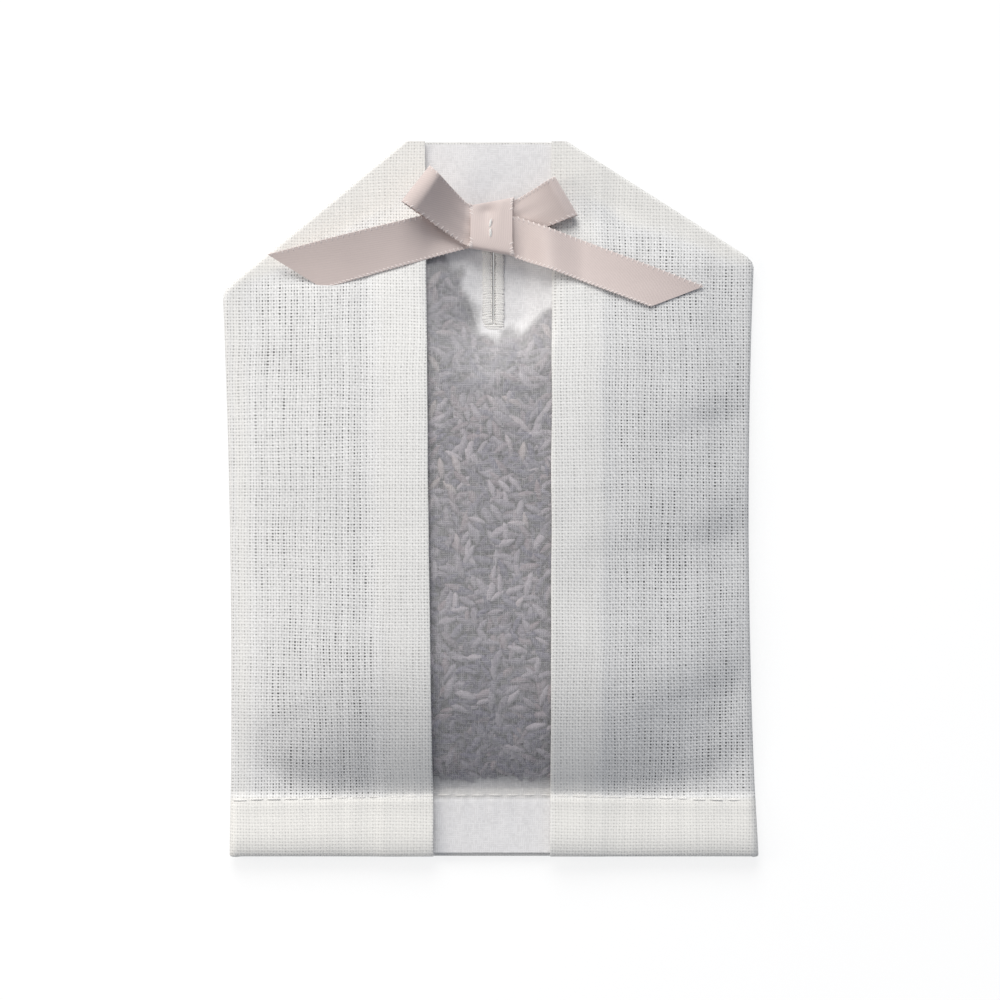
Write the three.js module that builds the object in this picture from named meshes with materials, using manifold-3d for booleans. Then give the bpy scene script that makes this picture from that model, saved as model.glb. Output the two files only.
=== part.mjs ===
// Lavender sachet: a linen jacket folded round a sheer pouch of dried lavender,
// with a worked buttonhole and a satin bow at its collar.
// Millimetres. It lies on its back: +X to the right, +Y to the collar, +Z up through its front.

import * as THREE from "three";
import Module from "manifold-3d";

const kit = await Module();
kit.setup();

// Outline of the jacket. Its two sides aren't alike, so each has its own sizes, from the middle line.
const HEIGHT = 160;
const COLLAR_LEFT = 19.4;
const COLLAR_RIGHT = 17.3;
const SHOULDER_LEFT = 60;
const SHOULDER_RIGHT = 59;
const SHOULDER_DROP_LEFT = 33.3;
const SHOULDER_DROP_RIGHT = 26.6;
const HEM_LEFT = 58.4;
const HEM_RIGHT = 60;
const SIDE_PULL_LEFT = 1;
const SIDE_PULL_RIGHT = 1.7;

// Front edges, from the middle line, and the turnings that double the cloth.
const EDGE_TOP_LEFT = 14.6;
const EDGE_HEM_LEFT = 12.7;
const EDGE_TOP_RIGHT = 13.6;
const EDGE_HEM_RIGHT = 13.3;
const FACING = 12;
const HEM_DEPTH = 13.2;
const TURN_STEP = 0.8;
const POUCH_SHORT = 0.9;

// Thickness of each material, and the space left between two layers.
const LINEN = 0.5;
const VOILE = 0.3;
const RIBBON = 0.4;
const CLEAR = 0.3;

// Lavender: its highest point, how far it keeps from the seams, and how it falls away.
const CROWN = 12;
const CROWN_FROM_HEM = 58;
const FILL_FROM_COLLAR = 13;
const FILL_FROM_STITCH = 2;
const FILL_FROM_SIDE = 1.2;
const PILLOW_CORNER = 3.2;
const PILLOW_FALL = 2.2;
const FILL_SHARE = 0.95;

// Buttonhole, pinched through the pouch and the back of the jacket, with no buds round it.
const BUTTONHOLE_X = 0.65;
const BUTTONHOLE_FROM_COLLAR = 42.2;
const BUTTONHOLE_LENGTH = 24.5;
const BUTTONHOLE_WIDTH = 5;
const EDGING = 0.5;
const SLIT_WIDTH = 0.6;
const SLIT_END = 2;
const SLIT_WALL = 0.7;
const PINCH = 5;
const PINCH_RIGHT = 6;
const PINCH_SLOPE = 12;
const PINCH_LIP = 2.5;

// Bow of flat ribbon.
const RIBBON_WIDTH = 9.5;
const KNOT_X = 0.2;
const KNOT_FROM_COLLAR = 19.3;
const KNOT_WIDTH = 9.6;
const KNOT_LEFT = 9.4;
const KNOT_RIGHT = 13;
const KNOT_ROUND = 1.1;
const DRAPE = 0.6;
const TAIL_FALL = 9;
const RIGHT_TAIL_HOLD = 6.5;
const RIGHT_TAIL_HUMP = 0.7;
const LEFT_TAIL_ANGLE = 194.8;
const LEFT_TAIL_LONG = 44.7;
const LEFT_TAIL_SHORT = 34.4;
const RIGHT_TAIL_ANGLE = -19.6;
const RIGHT_TAIL_LONG = 43.4;
const RIGHT_TAIL_SHORT = 33.4;
const TAIL_ROOT_RIGHT = 9.2;
const TAIL_DROP_RIGHT = 2.2;
const LEFT_LOOP_ANGLE = 142;
const LEFT_LOOP_LENGTH = 14.8;
const RIGHT_LOOP_ANGLE = 27;
const RIGHT_LOOP_LENGTH = 13;
const LOOP_ROOT_RIGHT = 8.6;
const LOOP_LIFT_RIGHT = 1.4;
const LOOP_RADIUS = 2.1;
const LOOP_RADIUS_UNDER_TAIL = 1;
const LOOP_SWELL = 3;
const LEFT_LOOP_PITCH = 8;
const RIGHT_LOOP_PITCH = 0;

// Sewing threads.
const THREAD_RADIUS = 0.22;
const STITCH = 3.8;
const STITCH_WAVE = 0.1;
const TACK = 2.1;

// How finely the soft forms are divided.
const FRONT_COLUMNS = 8;
const GAP_COLUMNS = 6;
const FOLD_STEPS = 5;
const BODY_ROWS = 22;
const TAIL_STEPS = 10;
const WIDTH_STEPS = 2;
const KNOT_CORNER_STEPS = 3;
const OUTLINE_STEPS = 56;
const THREAD_SEGMENTS = 3;

const TOP = HEIGHT / 2;
const BOTTOM = -HEIGHT / 2;
const STITCH_Y = BOTTOM + HEM_DEPTH;
const CROWN_Y = BOTTOM + CROWN_FROM_HEM;
const FILL_TOP = TOP - FILL_FROM_COLLAR;
const FILL_BOTTOM = STITCH_Y + FILL_FROM_STITCH;
const BUTTONHOLE_LOW = TOP - BUTTONHOLE_FROM_COLLAR;
const BUTTONHOLE_HIGH = BUTTONHOLE_LOW + BUTTONHOLE_LENGTH;
const KNOT_Y = TOP - KNOT_FROM_COLLAR;

function mix(a, b, share) {
  return a + (b - a) * share;
}

function clamp(value) {
  return Math.min(1, Math.max(0, value));
}

function smooth(value) {
  const t = clamp(value);
  return t * t * (3 - 2 * t);
}

function toward(degrees) {
  const angle = THREE.MathUtils.degToRad(degrees);
  return new THREE.Vector2(Math.cos(angle), Math.sin(angle));
}

// Reach of one side from the middle line at a height on the jacket.
function sideReach(y, collar, shoulder, drop, hem, pull) {
  const corner = TOP - drop;
  if (y > corner) {
    return mix(shoulder, collar, (y - corner) / drop);
  }
  const share = (corner - y) / (corner - BOTTOM);
  return mix(shoulder, hem, share) - pull * 4 * share * (1 - share);
}

function leftReach(y) {
  return sideReach(y, COLLAR_LEFT, SHOULDER_LEFT, SHOULDER_DROP_LEFT, HEM_LEFT, SIDE_PULL_LEFT);
}

function rightReach(y) {
  return sideReach(y, COLLAR_RIGHT, SHOULDER_RIGHT, SHOULDER_DROP_RIGHT, HEM_RIGHT, SIDE_PULL_RIGHT);
}

function leftEdge(y) {
  return mix(EDGE_HEM_LEFT, EDGE_TOP_LEFT, (y - BOTTOM) / HEIGHT);
}

function rightEdge(y) {
  return mix(EDGE_HEM_RIGHT, EDGE_TOP_RIGHT, (y - BOTTOM) / HEIGHT);
}

// The turned-up hem is a second layer of linen below the row of stitches.
function hemTurn(y) {
  return LINEN * clamp((STITCH_Y + TURN_STEP - y) / TURN_STEP);
}

// Heights of the layers from the back up, where nothing lies in the pouch.
function backTop(y) {
  return LINEN + hemTurn(y);
}

function pouchBackLow(y) {
  return backTop(y) + CLEAR;
}

function pouchFrontFlat(y) {
  return pouchBackLow(y) + VOILE + CLEAR;
}

function frontFlat(y) {
  return pouchFrontFlat(y) + VOILE + CLEAR;
}

// Radius of the fold at the sides, round all the layers.
function foldRadius(y) {
  return (frontFlat(y) + LINEN + hemTurn(y)) / 2;
}

// Share of the swelling that is left near the buttonhole, where the layers are sewn together.
function pinchRise(x, y) {
  const across = x < BUTTONHOLE_X ? x - BUTTONHOLE_X : Math.max(0, x - BUTTONHOLE_X - PINCH_RIGHT);
  const along = Math.min(0, y - BUTTONHOLE_LOW - BUTTONHOLE_WIDTH / 2);
  return smooth((Math.hypot(across, along) - PINCH) / PINCH_SLOPE);
}

function fillReach(x, y) {
  const reach = x < 0 ? leftReach(y) : rightReach(y);
  return reach - foldRadius(y) - FILL_FROM_SIDE;
}

// Distance out from the middle of a cushion with round corners, 1 at its seams.
function cushionSize(across, along) {
  return (Math.abs(across) ** PILLOW_CORNER + Math.abs(along) ** PILLOW_CORNER) ** (1 / PILLOW_CORNER);
}

// Height that the lavender lifts the cloth by.
function crown(x, y) {
  const across = Math.abs(x) / fillReach(x, y);
  const span = y < CROWN_Y ? FILL_BOTTOM - CROWN_Y : FILL_TOP - CROWN_Y;
  const along = (y - CROWN_Y) / span;
  const out = cushionSize(across, along);
  return CROWN * Math.max(0, 1 - out ** PILLOW_FALL) * pinchRise(x, y);
}

function pouchFrontLow(x, y) {
  return pouchFrontFlat(y) + crown(x, y);
}

function frontLow(x, y) {
  return frontFlat(y) + crown(x, y);
}

// Top of the doubled front edges, which the bow lies on.
function bed(x, y) {
  return frontLow(x, y) + 2 * LINEN;
}

function signedVolume(positions, index) {
  const a = new THREE.Vector3();
  const b = new THREE.Vector3();
  const c = new THREE.Vector3();
  let total = 0;
  for (let i = 0; i < index.length; i += 3) {
    a.fromArray(positions, index[i] * 3);
    b.fromArray(positions, index[i + 1] * 3);
    c.fromArray(positions, index[i + 2] * 3);
    total += a.dot(b.cross(c));
  }
  return total;
}

// Closed solid between two grids of points. A ring joins its last row to its first.
function shell(outer, inner, ring = false) {
  const rows = outer.length;
  const columns = outer[0].length;
  const positions = [];
  for (const grid of [outer, inner]) {
    for (const point of grid.flat()) {
      positions.push(point.x, point.y, point.z);
    }
  }
  const index = [];
  const at = (layer, row, column) => (layer * rows + (row % rows)) * columns + column;
  const quad = (a, b, c, d) => index.push(a, b, c, a, c, d);
  const spans = ring ? rows : rows - 1;
  const last = columns - 1;
  for (let i = 0; i < spans; i += 1) {
    for (let j = 0; j < last; j += 1) {
      quad(at(0, i, j), at(0, i + 1, j), at(0, i + 1, j + 1), at(0, i, j + 1));
      quad(at(1, i, j), at(1, i, j + 1), at(1, i + 1, j + 1), at(1, i + 1, j));
    }
    quad(at(0, i, 0), at(1, i, 0), at(1, i + 1, 0), at(0, i + 1, 0));
    quad(at(0, i, last), at(0, i + 1, last), at(1, i + 1, last), at(1, i, last));
  }
  for (let j = 0; j < last && !ring; j += 1) {
    quad(at(0, 0, j), at(0, 0, j + 1), at(1, 0, j + 1), at(1, 0, j));
    quad(at(0, rows - 1, j), at(1, rows - 1, j), at(1, rows - 1, j + 1), at(0, rows - 1, j + 1));
  }
  if (signedVolume(positions, index) < 0) {
    index.reverse();
  }
  const geometry = new THREE.BufferGeometry();
  geometry.setAttribute("position", new THREE.Float32BufferAttribute(positions, 3));
  geometry.setIndex(index);
  return geometry;
}

function solid(geometry) {
  const positions = geometry.getAttribute("position").array;
  const index = geometry.getIndex()?.array ?? [...Array(positions.length / 3).keys()];
  const mesh = new kit.Mesh({
    numProp: 3,
    vertProperties: new Float32Array(positions),
    triVerts: new Uint32Array(index),
  });
  mesh.merge();
  return new kit.Manifold(mesh);
}

function geometryOf(body) {
  const mesh = body.getMesh();
  const geometry = new THREE.BufferGeometry();
  geometry.setAttribute("position", new THREE.Float32BufferAttribute(mesh.vertProperties, 3));
  geometry.setIndex(new THREE.Uint32BufferAttribute(mesh.triVerts, 1));
  return geometry;
}

// Upright bar of a flat outline between two heights.
function bar(shape, low, high, curveSegments = 8) {
  const depth = high - low;
  const geometry = new THREE.ExtrudeGeometry(shape, { depth, bevelEnabled: false, curveSegments });
  geometry.translate(0, 0, low);
  return geometry;
}

// Long outline with round ends, upright on the buttonhole's line.
function slot(Path, low, high, width) {
  const radius = width / 2;
  const outline = new Path();
  outline.moveTo(BUTTONHOLE_X + radius, low + radius);
  outline.lineTo(BUTTONHOLE_X + radius, high - radius);
  outline.absarc(BUTTONHOLE_X, high - radius, radius, 0, Math.PI, false);
  outline.lineTo(BUTTONHOLE_X - radius, low + radius);
  outline.absarc(BUTTONHOLE_X, low + radius, radius, Math.PI, 2 * Math.PI, false);
  return outline;
}

function slitOutline(grow) {
  const low = BUTTONHOLE_LOW + SLIT_END - grow;
  const high = BUTTONHOLE_HIGH - SLIT_END + grow;
  return { low, high, width: SLIT_WIDTH + 2 * grow };
}

// Distances from the middle line, from the fold at the side in to the front edge.
function frontColumns(y, reach, edge) {
  const side = reach - foldRadius(y);
  const facing = Math.min(FACING, 0.7 * (side - edge));
  const step = Math.min(TURN_STEP, 0.3 * (side - edge - facing));
  const columns = [];
  for (let i = 0; i <= FRONT_COLUMNS; i += 1) {
    columns.push({ reach: mix(side, edge + facing + step, i / FRONT_COLUMNS), layers: 1 });
  }
  columns.push({ reach: edge + facing, layers: 2 });
  columns.push({ reach: edge + facing / 2, layers: 2 });
  columns.push({ reach: edge, layers: 2 });
  return columns;
}

function leftColumns(y) {
  return frontColumns(y, leftReach(y), leftEdge(y)).map((c) => ({ x: -c.reach, layers: c.layers }));
}

function rightColumns(y) {
  return frontColumns(y, rightReach(y), rightEdge(y)).map((c) => ({ x: c.reach, layers: c.layers }));
}

// Heights on the jacket where its grid has a row, the corners of the outline among them.
function rowHeights() {
  const rows = [BOTTOM, mix(BOTTOM, STITCH_Y, 0.5), STITCH_Y];
  for (let i = 0; i <= BODY_ROWS; i += 1) {
    rows.push(mix(STITCH_Y + TURN_STEP, TOP, i / BODY_ROWS));
  }
  rows.push(TOP - SHOULDER_DROP_LEFT, TOP - SHOULDER_DROP_RIGHT);
  return rows.sort((a, b) => a - b);
}

const ROWS = rowHeights();

// Lays points out with one row for each column of the cloth and one column for each height.
function gridOf(sections) {
  return sections[0].map((unused, i) => sections.map((section) => section[i]));
}

function jacketSection(y) {
  const radius = foldRadius(y);
  const wall = LINEN + hemTurn(y);
  const outer = [];
  const inner = [];
  const addFront = (column) => {
    const low = frontLow(column.x, y);
    outer.push(new THREE.Vector3(column.x, y, low + wall + (column.layers - 1) * LINEN));
    inner.push(new THREE.Vector3(column.x, y, low));
  };
  const addFold = (centre, turn) => {
    for (let i = 1; i <= FOLD_STEPS; i += 1) {
      const angle = turn(i / (FOLD_STEPS + 1));
      const across = Math.cos(angle);
      const up = Math.sin(angle);
      outer.push(new THREE.Vector3(centre + radius * across, y, radius + radius * up));
      inner.push(new THREE.Vector3(centre + (radius - wall) * across, y, radius + (radius - wall) * up));
    }
  };
  const addBack = (x) => {
    outer.push(new THREE.Vector3(x, y, 0));
    inner.push(new THREE.Vector3(x, y, wall));
  };
  const left = leftColumns(y);
  const right = rightColumns(y);
  left.toReversed().forEach(addFront);
  addFold(left[0].x, (share) => Math.PI * (0.5 + share));
  addBack(left[0].x);
  addBack(BUTTONHOLE_X);
  addBack(right[0].x);
  addFold(right[0].x, (share) => Math.PI * (share - 0.5));
  right.forEach(addFront);
  return { outer, inner };
}

function jacketGeometry() {
  const sections = ROWS.map(jacketSection);
  const cloth = shell(gridOf(sections.map((s) => s.outer)), gridOf(sections.map((s) => s.inner)));
  return geometryOf(solid(cloth).subtract(slotThrough(-CLEAR, LINEN + CLEAR / 2)));
}

// The opening that the edging goes through, in one layer of cloth.
function slotThrough(low, high) {
  const cut = slitOutline(SLIT_WALL + CLEAR);
  return solid(bar(slot(THREE.Shape, cut.low, cut.high, cut.width), low, high));
}

// Heights across the pouch, which ends a little short of the jacket at the hem and at the collar.
const POUCH_LOW = BOTTOM + POUCH_SHORT;
const POUCH_HIGH = TOP - 2 * CLEAR;

function pouchRows() {
  return ROWS.map((y) => THREE.MathUtils.clamp(y, POUCH_LOW, POUCH_HIGH));
}

// From the right side to the left, as the fronts of the jacket run.
function pouchColumns(y) {
  const right = rightColumns(y).map((c) => c.x);
  const left = leftColumns(y).map((c) => c.x).toReversed();
  const middle = [];
  for (let i = 1; i < GAP_COLUMNS; i += 1) {
    middle.push(mix(right.at(-1), left[0], i / GAP_COLUMNS));
  }
  return [...right, ...middle, ...left];
}

function clothGrid(rows, heightAt) {
  return gridOf(rows.map((y) => pouchColumns(y).map((x) => new THREE.Vector3(x, y, heightAt(x, y)))));
}

function pouchFrontGeometry() {
  const rows = pouchRows();
  const cloth = shell(
    clothGrid(rows, (x, y) => pouchFrontLow(x, y) + VOILE),
    clothGrid(rows, pouchFrontLow),
  );
  const level = pouchFrontFlat(KNOT_Y);
  return geometryOf(solid(cloth).subtract(slotThrough(level - CLEAR / 2, level + VOILE + CLEAR / 2)));
}

function pouchBackGeometry() {
  const corner = TOP - SHOULDER_DROP_LEFT;
  const rows = [POUCH_LOW, STITCH_Y, STITCH_Y + TURN_STEP, corner, TOP - SHOULDER_DROP_RIGHT, POUCH_HIGH];
  rows.push(mix(STITCH_Y, corner, 0.33), mix(STITCH_Y, corner, 0.67));
  rows.sort((a, b) => a - b);
  const layer = (rise) => gridOf(rows.map((y) => {
    const level = pouchBackLow(y) + rise;
    const left = foldRadius(y) - leftReach(y);
    const right = rightReach(y) - foldRadius(y);
    return [left, BUTTONHOLE_X, right].map((x) => new THREE.Vector3(x, y, level));
  }));
  const cloth = solid(shell(layer(VOILE), layer(0)));
  const level = pouchBackLow(KNOT_Y);
  return geometryOf(cloth.subtract(slotThrough(level - CLEAR / 2, level + VOILE + CLEAR / 2)));
}

// Outline of the heap of buds, a share of the way from its highest point to the seams.
function fillOutline() {
  const points = [];
  for (let i = 0; i < OUTLINE_STEPS; i += 1) {
    const angle = (i / OUTLINE_STEPS) * 2 * Math.PI;
    const across = Math.cos(angle);
    const along = Math.sin(angle);
    const share = FILL_SHARE / cushionSize(across, along);
    const y = CROWN_Y + share * along * (along < 0 ? CROWN_Y - FILL_BOTTOM : FILL_TOP - CROWN_Y);
    points.push(new THREE.Vector2(share * across * fillReach(across, y), y));
  }
  return new THREE.Shape(points);
}

// The bay in the heap round the buttonhole, open towards the collar.
function pinchOutline() {
  const radius = PINCH + PINCH_LIP;
  const low = BUTTONHOLE_LOW + BUTTONHOLE_WIDTH / 2;
  const outline = new THREE.Shape();
  outline.moveTo(BUTTONHOLE_X - radius, TOP);
  outline.lineTo(BUTTONHOLE_X - radius, low);
  outline.absarc(BUTTONHOLE_X, low, radius, Math.PI, 1.5 * Math.PI, false);
  outline.lineTo(BUTTONHOLE_X + PINCH_RIGHT, low - radius);
  outline.absarc(BUTTONHOLE_X + PINCH_RIGHT, low, radius, 1.5 * Math.PI, 2 * Math.PI, false);
  outline.lineTo(BUTTONHOLE_X + PINCH_RIGHT + radius, TOP);
  return outline;
}

function fillGeometry() {
  const deep = -CROWN;
  const high = 2 * CROWN;
  const heap = solid(shell(
    clothGrid(pouchRows(), (x, y) => pouchFrontLow(x, y) - CLEAR),
    clothGrid(pouchRows(), () => deep),
  ));
  const floor = pouchBackLow(CROWN_Y) + VOILE + CLEAR;
  const outline = solid(bar(fillOutline(), floor, high));
  return geometryOf(heap.intersect(outline).subtract(solid(bar(pinchOutline(), deep, high))));
}

// A rim on the pouch and a sleeve through its two panels and the back of the jacket.
function edgingGeometry() {
  const slit = slitOutline(0);
  const sleeve = slitOutline(SLIT_WALL);
  const seat = pouchFrontFlat(KNOT_Y) + VOILE + CLEAR;
  const rim = slot(THREE.Shape, BUTTONHOLE_LOW, BUTTONHOLE_HIGH, BUTTONHOLE_WIDTH);
  rim.holes.push(slot(THREE.Path, slit.low, slit.high, slit.width));
  const wall = slot(THREE.Shape, sleeve.low, sleeve.high, sleeve.width);
  wall.holes.push(slot(THREE.Path, slit.low, slit.high, slit.width));
  const upper = solid(bar(rim, seat, seat + EDGING));
  return geometryOf(upper.add(solid(bar(wall, LINEN / 4, seat + EDGING / 2))));
}

// Heights in the bow: the knot band, then three layers of ribbon in it, then the band again.
const BOW_BED = bed(KNOT_X, KNOT_Y);
const KNOT_LOW = BOW_BED + CLEAR;
const LAYER = RIBBON + CLEAR;
const CORE_LOW = KNOT_LOW + LAYER;
const CORE_HIGH = CORE_LOW + 2 * LAYER + RIBBON;
const KNOT_HIGH = CORE_HIGH + LAYER;
const LEFT_FACE = KNOT_X - KNOT_WIDTH / 2;
const RIGHT_FACE = KNOT_X + KNOT_WIDTH / 2;

// Points round a rectangle with round corners, upright across the ribbon of the knot.
function knotRing(x, length, shrink) {
  const half = length / 2 - shrink;
  const low = KNOT_LOW + shrink;
  const high = KNOT_HIGH - shrink;
  const round = Math.max(KNOT_ROUND - shrink, 0.3 * KNOT_ROUND);
  const corners = [
    [KNOT_Y + half - round, high - round],
    [KNOT_Y - half + round, high - round],
    [KNOT_Y - half + round, low + round],
    [KNOT_Y + half - round, low + round],
  ];
  const points = [];
  corners.forEach(([y, z], quarter) => {
    for (let i = 0; i <= KNOT_CORNER_STEPS; i += 1) {
      const angle = (quarter + i / KNOT_CORNER_STEPS) * 0.5 * Math.PI;
      points.push(new THREE.Vector3(x, y + round * Math.cos(angle), z + round * Math.sin(angle)));
    }
  });
  return points;
}

function knotGrid(shrink) {
  return gridOf([knotRing(LEFT_FACE, KNOT_LEFT, shrink), knotRing(RIGHT_FACE, KNOT_RIGHT, shrink)]);
}

function coreGeometry() {
  const gather = RIBBON + CLEAR;
  const layer = (z) => [
    [new THREE.Vector3(LEFT_FACE, KNOT_Y - KNOT_LEFT / 2 + gather + KNOT_ROUND, z),
      new THREE.Vector3(LEFT_FACE, KNOT_Y + KNOT_LEFT / 2 - gather - KNOT_ROUND, z)],
    [new THREE.Vector3(RIGHT_FACE, KNOT_Y - KNOT_RIGHT / 2 + gather + KNOT_ROUND, z),
      new THREE.Vector3(RIGHT_FACE, KNOT_Y + KNOT_RIGHT / 2 - gather - KNOT_ROUND, z)],
  ];
  return shell(layer(CORE_HIGH), layer(CORE_LOW));
}

// Two corners of a ribbon's end, one for each edge, as far along it as each edge goes.
function ribbonEnd(root, angle, lowerLength, upperLength) {
  const along = toward(angle);
  const across = new THREE.Vector2(-along.y, along.x).multiplyScalar(along.x < 0 ? -1 : 1);
  const end = (length, side) => root.clone().addScaledVector(along, length).addScaledVector(across, side);
  return [end(lowerLength, -RIBBON_WIDTH / 2), end(upperLength, RIBBON_WIDTH / 2)];
}

function rootEdge(x, y, width) {
  return [new THREE.Vector2(x, y - width / 2), new THREE.Vector2(x, y + width / 2)];
}

// Point of a ribbon in plan, a share along it and a share across it.
function inPlan(root, end, along, across) {
  const start = root[0].clone().lerp(root[1], across);
  const finish = end[0].clone().lerp(end[1], across);
  return start.lerp(finish, along);
}

// A tail leaves the knot at a height of its own, goes over what lies beside it and comes down on the front.
function tailGeometry(root, end, rootLow, hold, hump) {
  const rise = rootLow - BOW_BED - DRAPE;
  const layer = (thickness) => {
    const rows = [];
    for (let i = 0; i <= TAIL_STEPS; i += 1) {
      const row = [];
      for (let j = 0; j <= WIDTH_STEPS; j += 1) {
        const point = inPlan(root, end, i / TAIL_STEPS, j / WIDTH_STEPS);
        const out = Math.abs(point.x - root[0].x);
        const lift = (rise + hump * smooth(out / RIGHT_TAIL_HOLD)) * (1 - smooth((out - hold) / TAIL_FALL));
        row.push(new THREE.Vector3(point.x, point.y, bed(point.x, point.y) + DRAPE + lift + thickness));
      }
      rows.push(row);
    }
    return rows;
  };
  return shell(layer(RIBBON), layer(0));
}

// Side view of a loop from its lower root, out, round its fold and back to its upper root.
function loopLine(length, radius, offset) {
  const line = [];
  for (let i = 0; i < 4; i += 1) {
    line.push(new THREE.Vector2((length - radius) * (i / 4), -offset));
  }
  for (let i = 0; i <= 8; i += 1) {
    const angle = (i / 8 - 0.5) * Math.PI;
    const reach = radius + offset;
    line.push(new THREE.Vector2(length - radius + reach * Math.cos(angle), radius + reach * Math.sin(angle)));
  }
  for (let i = 1; i <= 5; i += 1) {
    const reach = (1 - i / 5) * (length - radius);
    const height = mix(LAYER, 2 * radius, (1 - i / 5) ** LOOP_SWELL);
    line.push(new THREE.Vector2(reach, height + offset));
  }
  return line;
}

function loopGeometry(root, end, length, rootLow, pitch, lowerRadius) {
  const slope = Math.tan(THREE.MathUtils.degToRad(pitch));
  const layer = (offset) => {
    const sections = [];
    for (let j = 0; j <= WIDTH_STEPS; j += 1) {
      const radius = mix(lowerRadius, LOOP_RADIUS, j / WIDTH_STEPS);
      sections.push(loopLine(length - RIBBON / 2, radius, offset).map((point) => {
        const plan = inPlan(root, end, point.x / length, j / WIDTH_STEPS);
        return new THREE.Vector3(plan.x, plan.y, rootLow + RIBBON / 2 + point.y + slope * point.x);
      }));
    }
    return gridOf(sections);
  };
  return shell(layer(RIBBON / 2), layer(-RIBBON / 2));
}

function threadGeometry(points, steps) {
  const section = new THREE.Shape();
  section.absarc(0, 0, THREAD_RADIUS, 0, 2 * Math.PI, false);
  return new THREE.ExtrudeGeometry(section, {
    steps,
    bevelEnabled: false,
    curveSegments: THREAD_SEGMENTS,
    extrudePath: new THREE.CatmullRomCurve3(points, false, "centripetal"),
  });
}

// Top of whatever the hem stitches lie on: a front, or the pouch between the two fronts.
function hemSurface(x) {
  const low = frontFlat(STITCH_Y) + crown(x, STITCH_Y);
  const inGap = x > -leftEdge(STITCH_Y) && x < rightEdge(STITCH_Y);
  return inGap ? low - CLEAR : low + 3 * LINEN;
}

function hemThreadGeometry() {
  const start = foldRadius(STITCH_Y) - leftReach(STITCH_Y);
  const end = rightReach(STITCH_Y) - foldRadius(STITCH_Y);
  const count = 2 * Math.round((end - start) / STITCH);
  const points = [];
  for (let i = 0; i <= count; i += 1) {
    const x = mix(start, end, i / count);
    const near = Math.max(hemSurface(x - STITCH / 4), hemSurface(x), hemSurface(x + STITCH / 4));
    const wave = STITCH_WAVE * (i % 2);
    points.push(new THREE.Vector3(x, STITCH_Y, near + CLEAR + THREAD_RADIUS + wave));
  }
  return threadGeometry(points, 2 * count);
}

function tackGeometry() {
  const points = [];
  for (let i = -2; i <= 2; i += 1) {
    const lift = i % 2 === 0 ? 0 : THREAD_RADIUS;
    points.push(new THREE.Vector3(KNOT_X, KNOT_Y + (i / 2) * TACK, KNOT_HIGH + CLEAR + THREAD_RADIUS + lift));
  }
  return threadGeometry(points, 12);
}

const sachet = new THREE.Group();
sachet.name = "lavender_sachet";

function add(name, geometry, color, roughness) {
  const material = new THREE.MeshStandardMaterial({ color, roughness, metalness: 0 });
  const mesh = new THREE.Mesh(geometry, material);
  mesh.name = name;
  sachet.add(mesh);
}

const leftRootX = LEFT_FACE - CLEAR;
const rightRootX = RIGHT_FACE + CLEAR;
const leftRoot = rootEdge(leftRootX, KNOT_Y, KNOT_LEFT);
const leftMiddle = new THREE.Vector2(leftRootX, KNOT_Y);
const tailRootRight = rootEdge(rightRootX, KNOT_Y - TAIL_DROP_RIGHT, TAIL_ROOT_RIGHT);
const tailMiddleRight = new THREE.Vector2(rightRootX, KNOT_Y - TAIL_DROP_RIGHT);
const loopRootRight = rootEdge(rightRootX, KNOT_Y + LOOP_LIFT_RIGHT, LOOP_ROOT_RIGHT);
const loopMiddleRight = new THREE.Vector2(rightRootX, KNOT_Y + LOOP_LIFT_RIGHT);

const leftTailEnd = ribbonEnd(leftMiddle, LEFT_TAIL_ANGLE, LEFT_TAIL_SHORT, LEFT_TAIL_LONG);
const rightTailEnd = ribbonEnd(tailMiddleRight, RIGHT_TAIL_ANGLE, RIGHT_TAIL_SHORT, RIGHT_TAIL_LONG);
const leftLoopEnd = ribbonEnd(leftMiddle, LEFT_LOOP_ANGLE, LEFT_LOOP_LENGTH, LEFT_LOOP_LENGTH);
const rightLoopEnd = ribbonEnd(loopMiddleRight, RIGHT_LOOP_ANGLE, RIGHT_LOOP_LENGTH, RIGHT_LOOP_LENGTH);

const leftTail = tailGeometry(leftRoot, leftTailEnd, CORE_LOW, 0, 0);
const leftLoopLow = CORE_LOW + LAYER;
const leftLoop = loopGeometry(
  leftRoot,
  leftLoopEnd,
  LEFT_LOOP_LENGTH,
  leftLoopLow,
  LEFT_LOOP_PITCH,
  LOOP_RADIUS,
);
const rightLoop = loopGeometry(
  loopRootRight,
  rightLoopEnd,
  RIGHT_LOOP_LENGTH,
  CORE_LOW,
  RIGHT_LOOP_PITCH,
  LOOP_RADIUS_UNDER_TAIL,
);
const rightTailLow = CORE_LOW + 2 * LAYER;
const rightTail = tailGeometry(tailRootRight, rightTailEnd, rightTailLow, RIGHT_TAIL_HOLD, RIGHT_TAIL_HUMP);

const LINEN_COLOUR = "#eae8e2";
const VOILE_COLOUR = "#e6e4e4";
const LAVENDER_COLOUR = "#6f6872";
const RIBBON_COLOUR = "#cbb9b5";
const THREAD_COLOUR = "#f0eeea";

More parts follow.
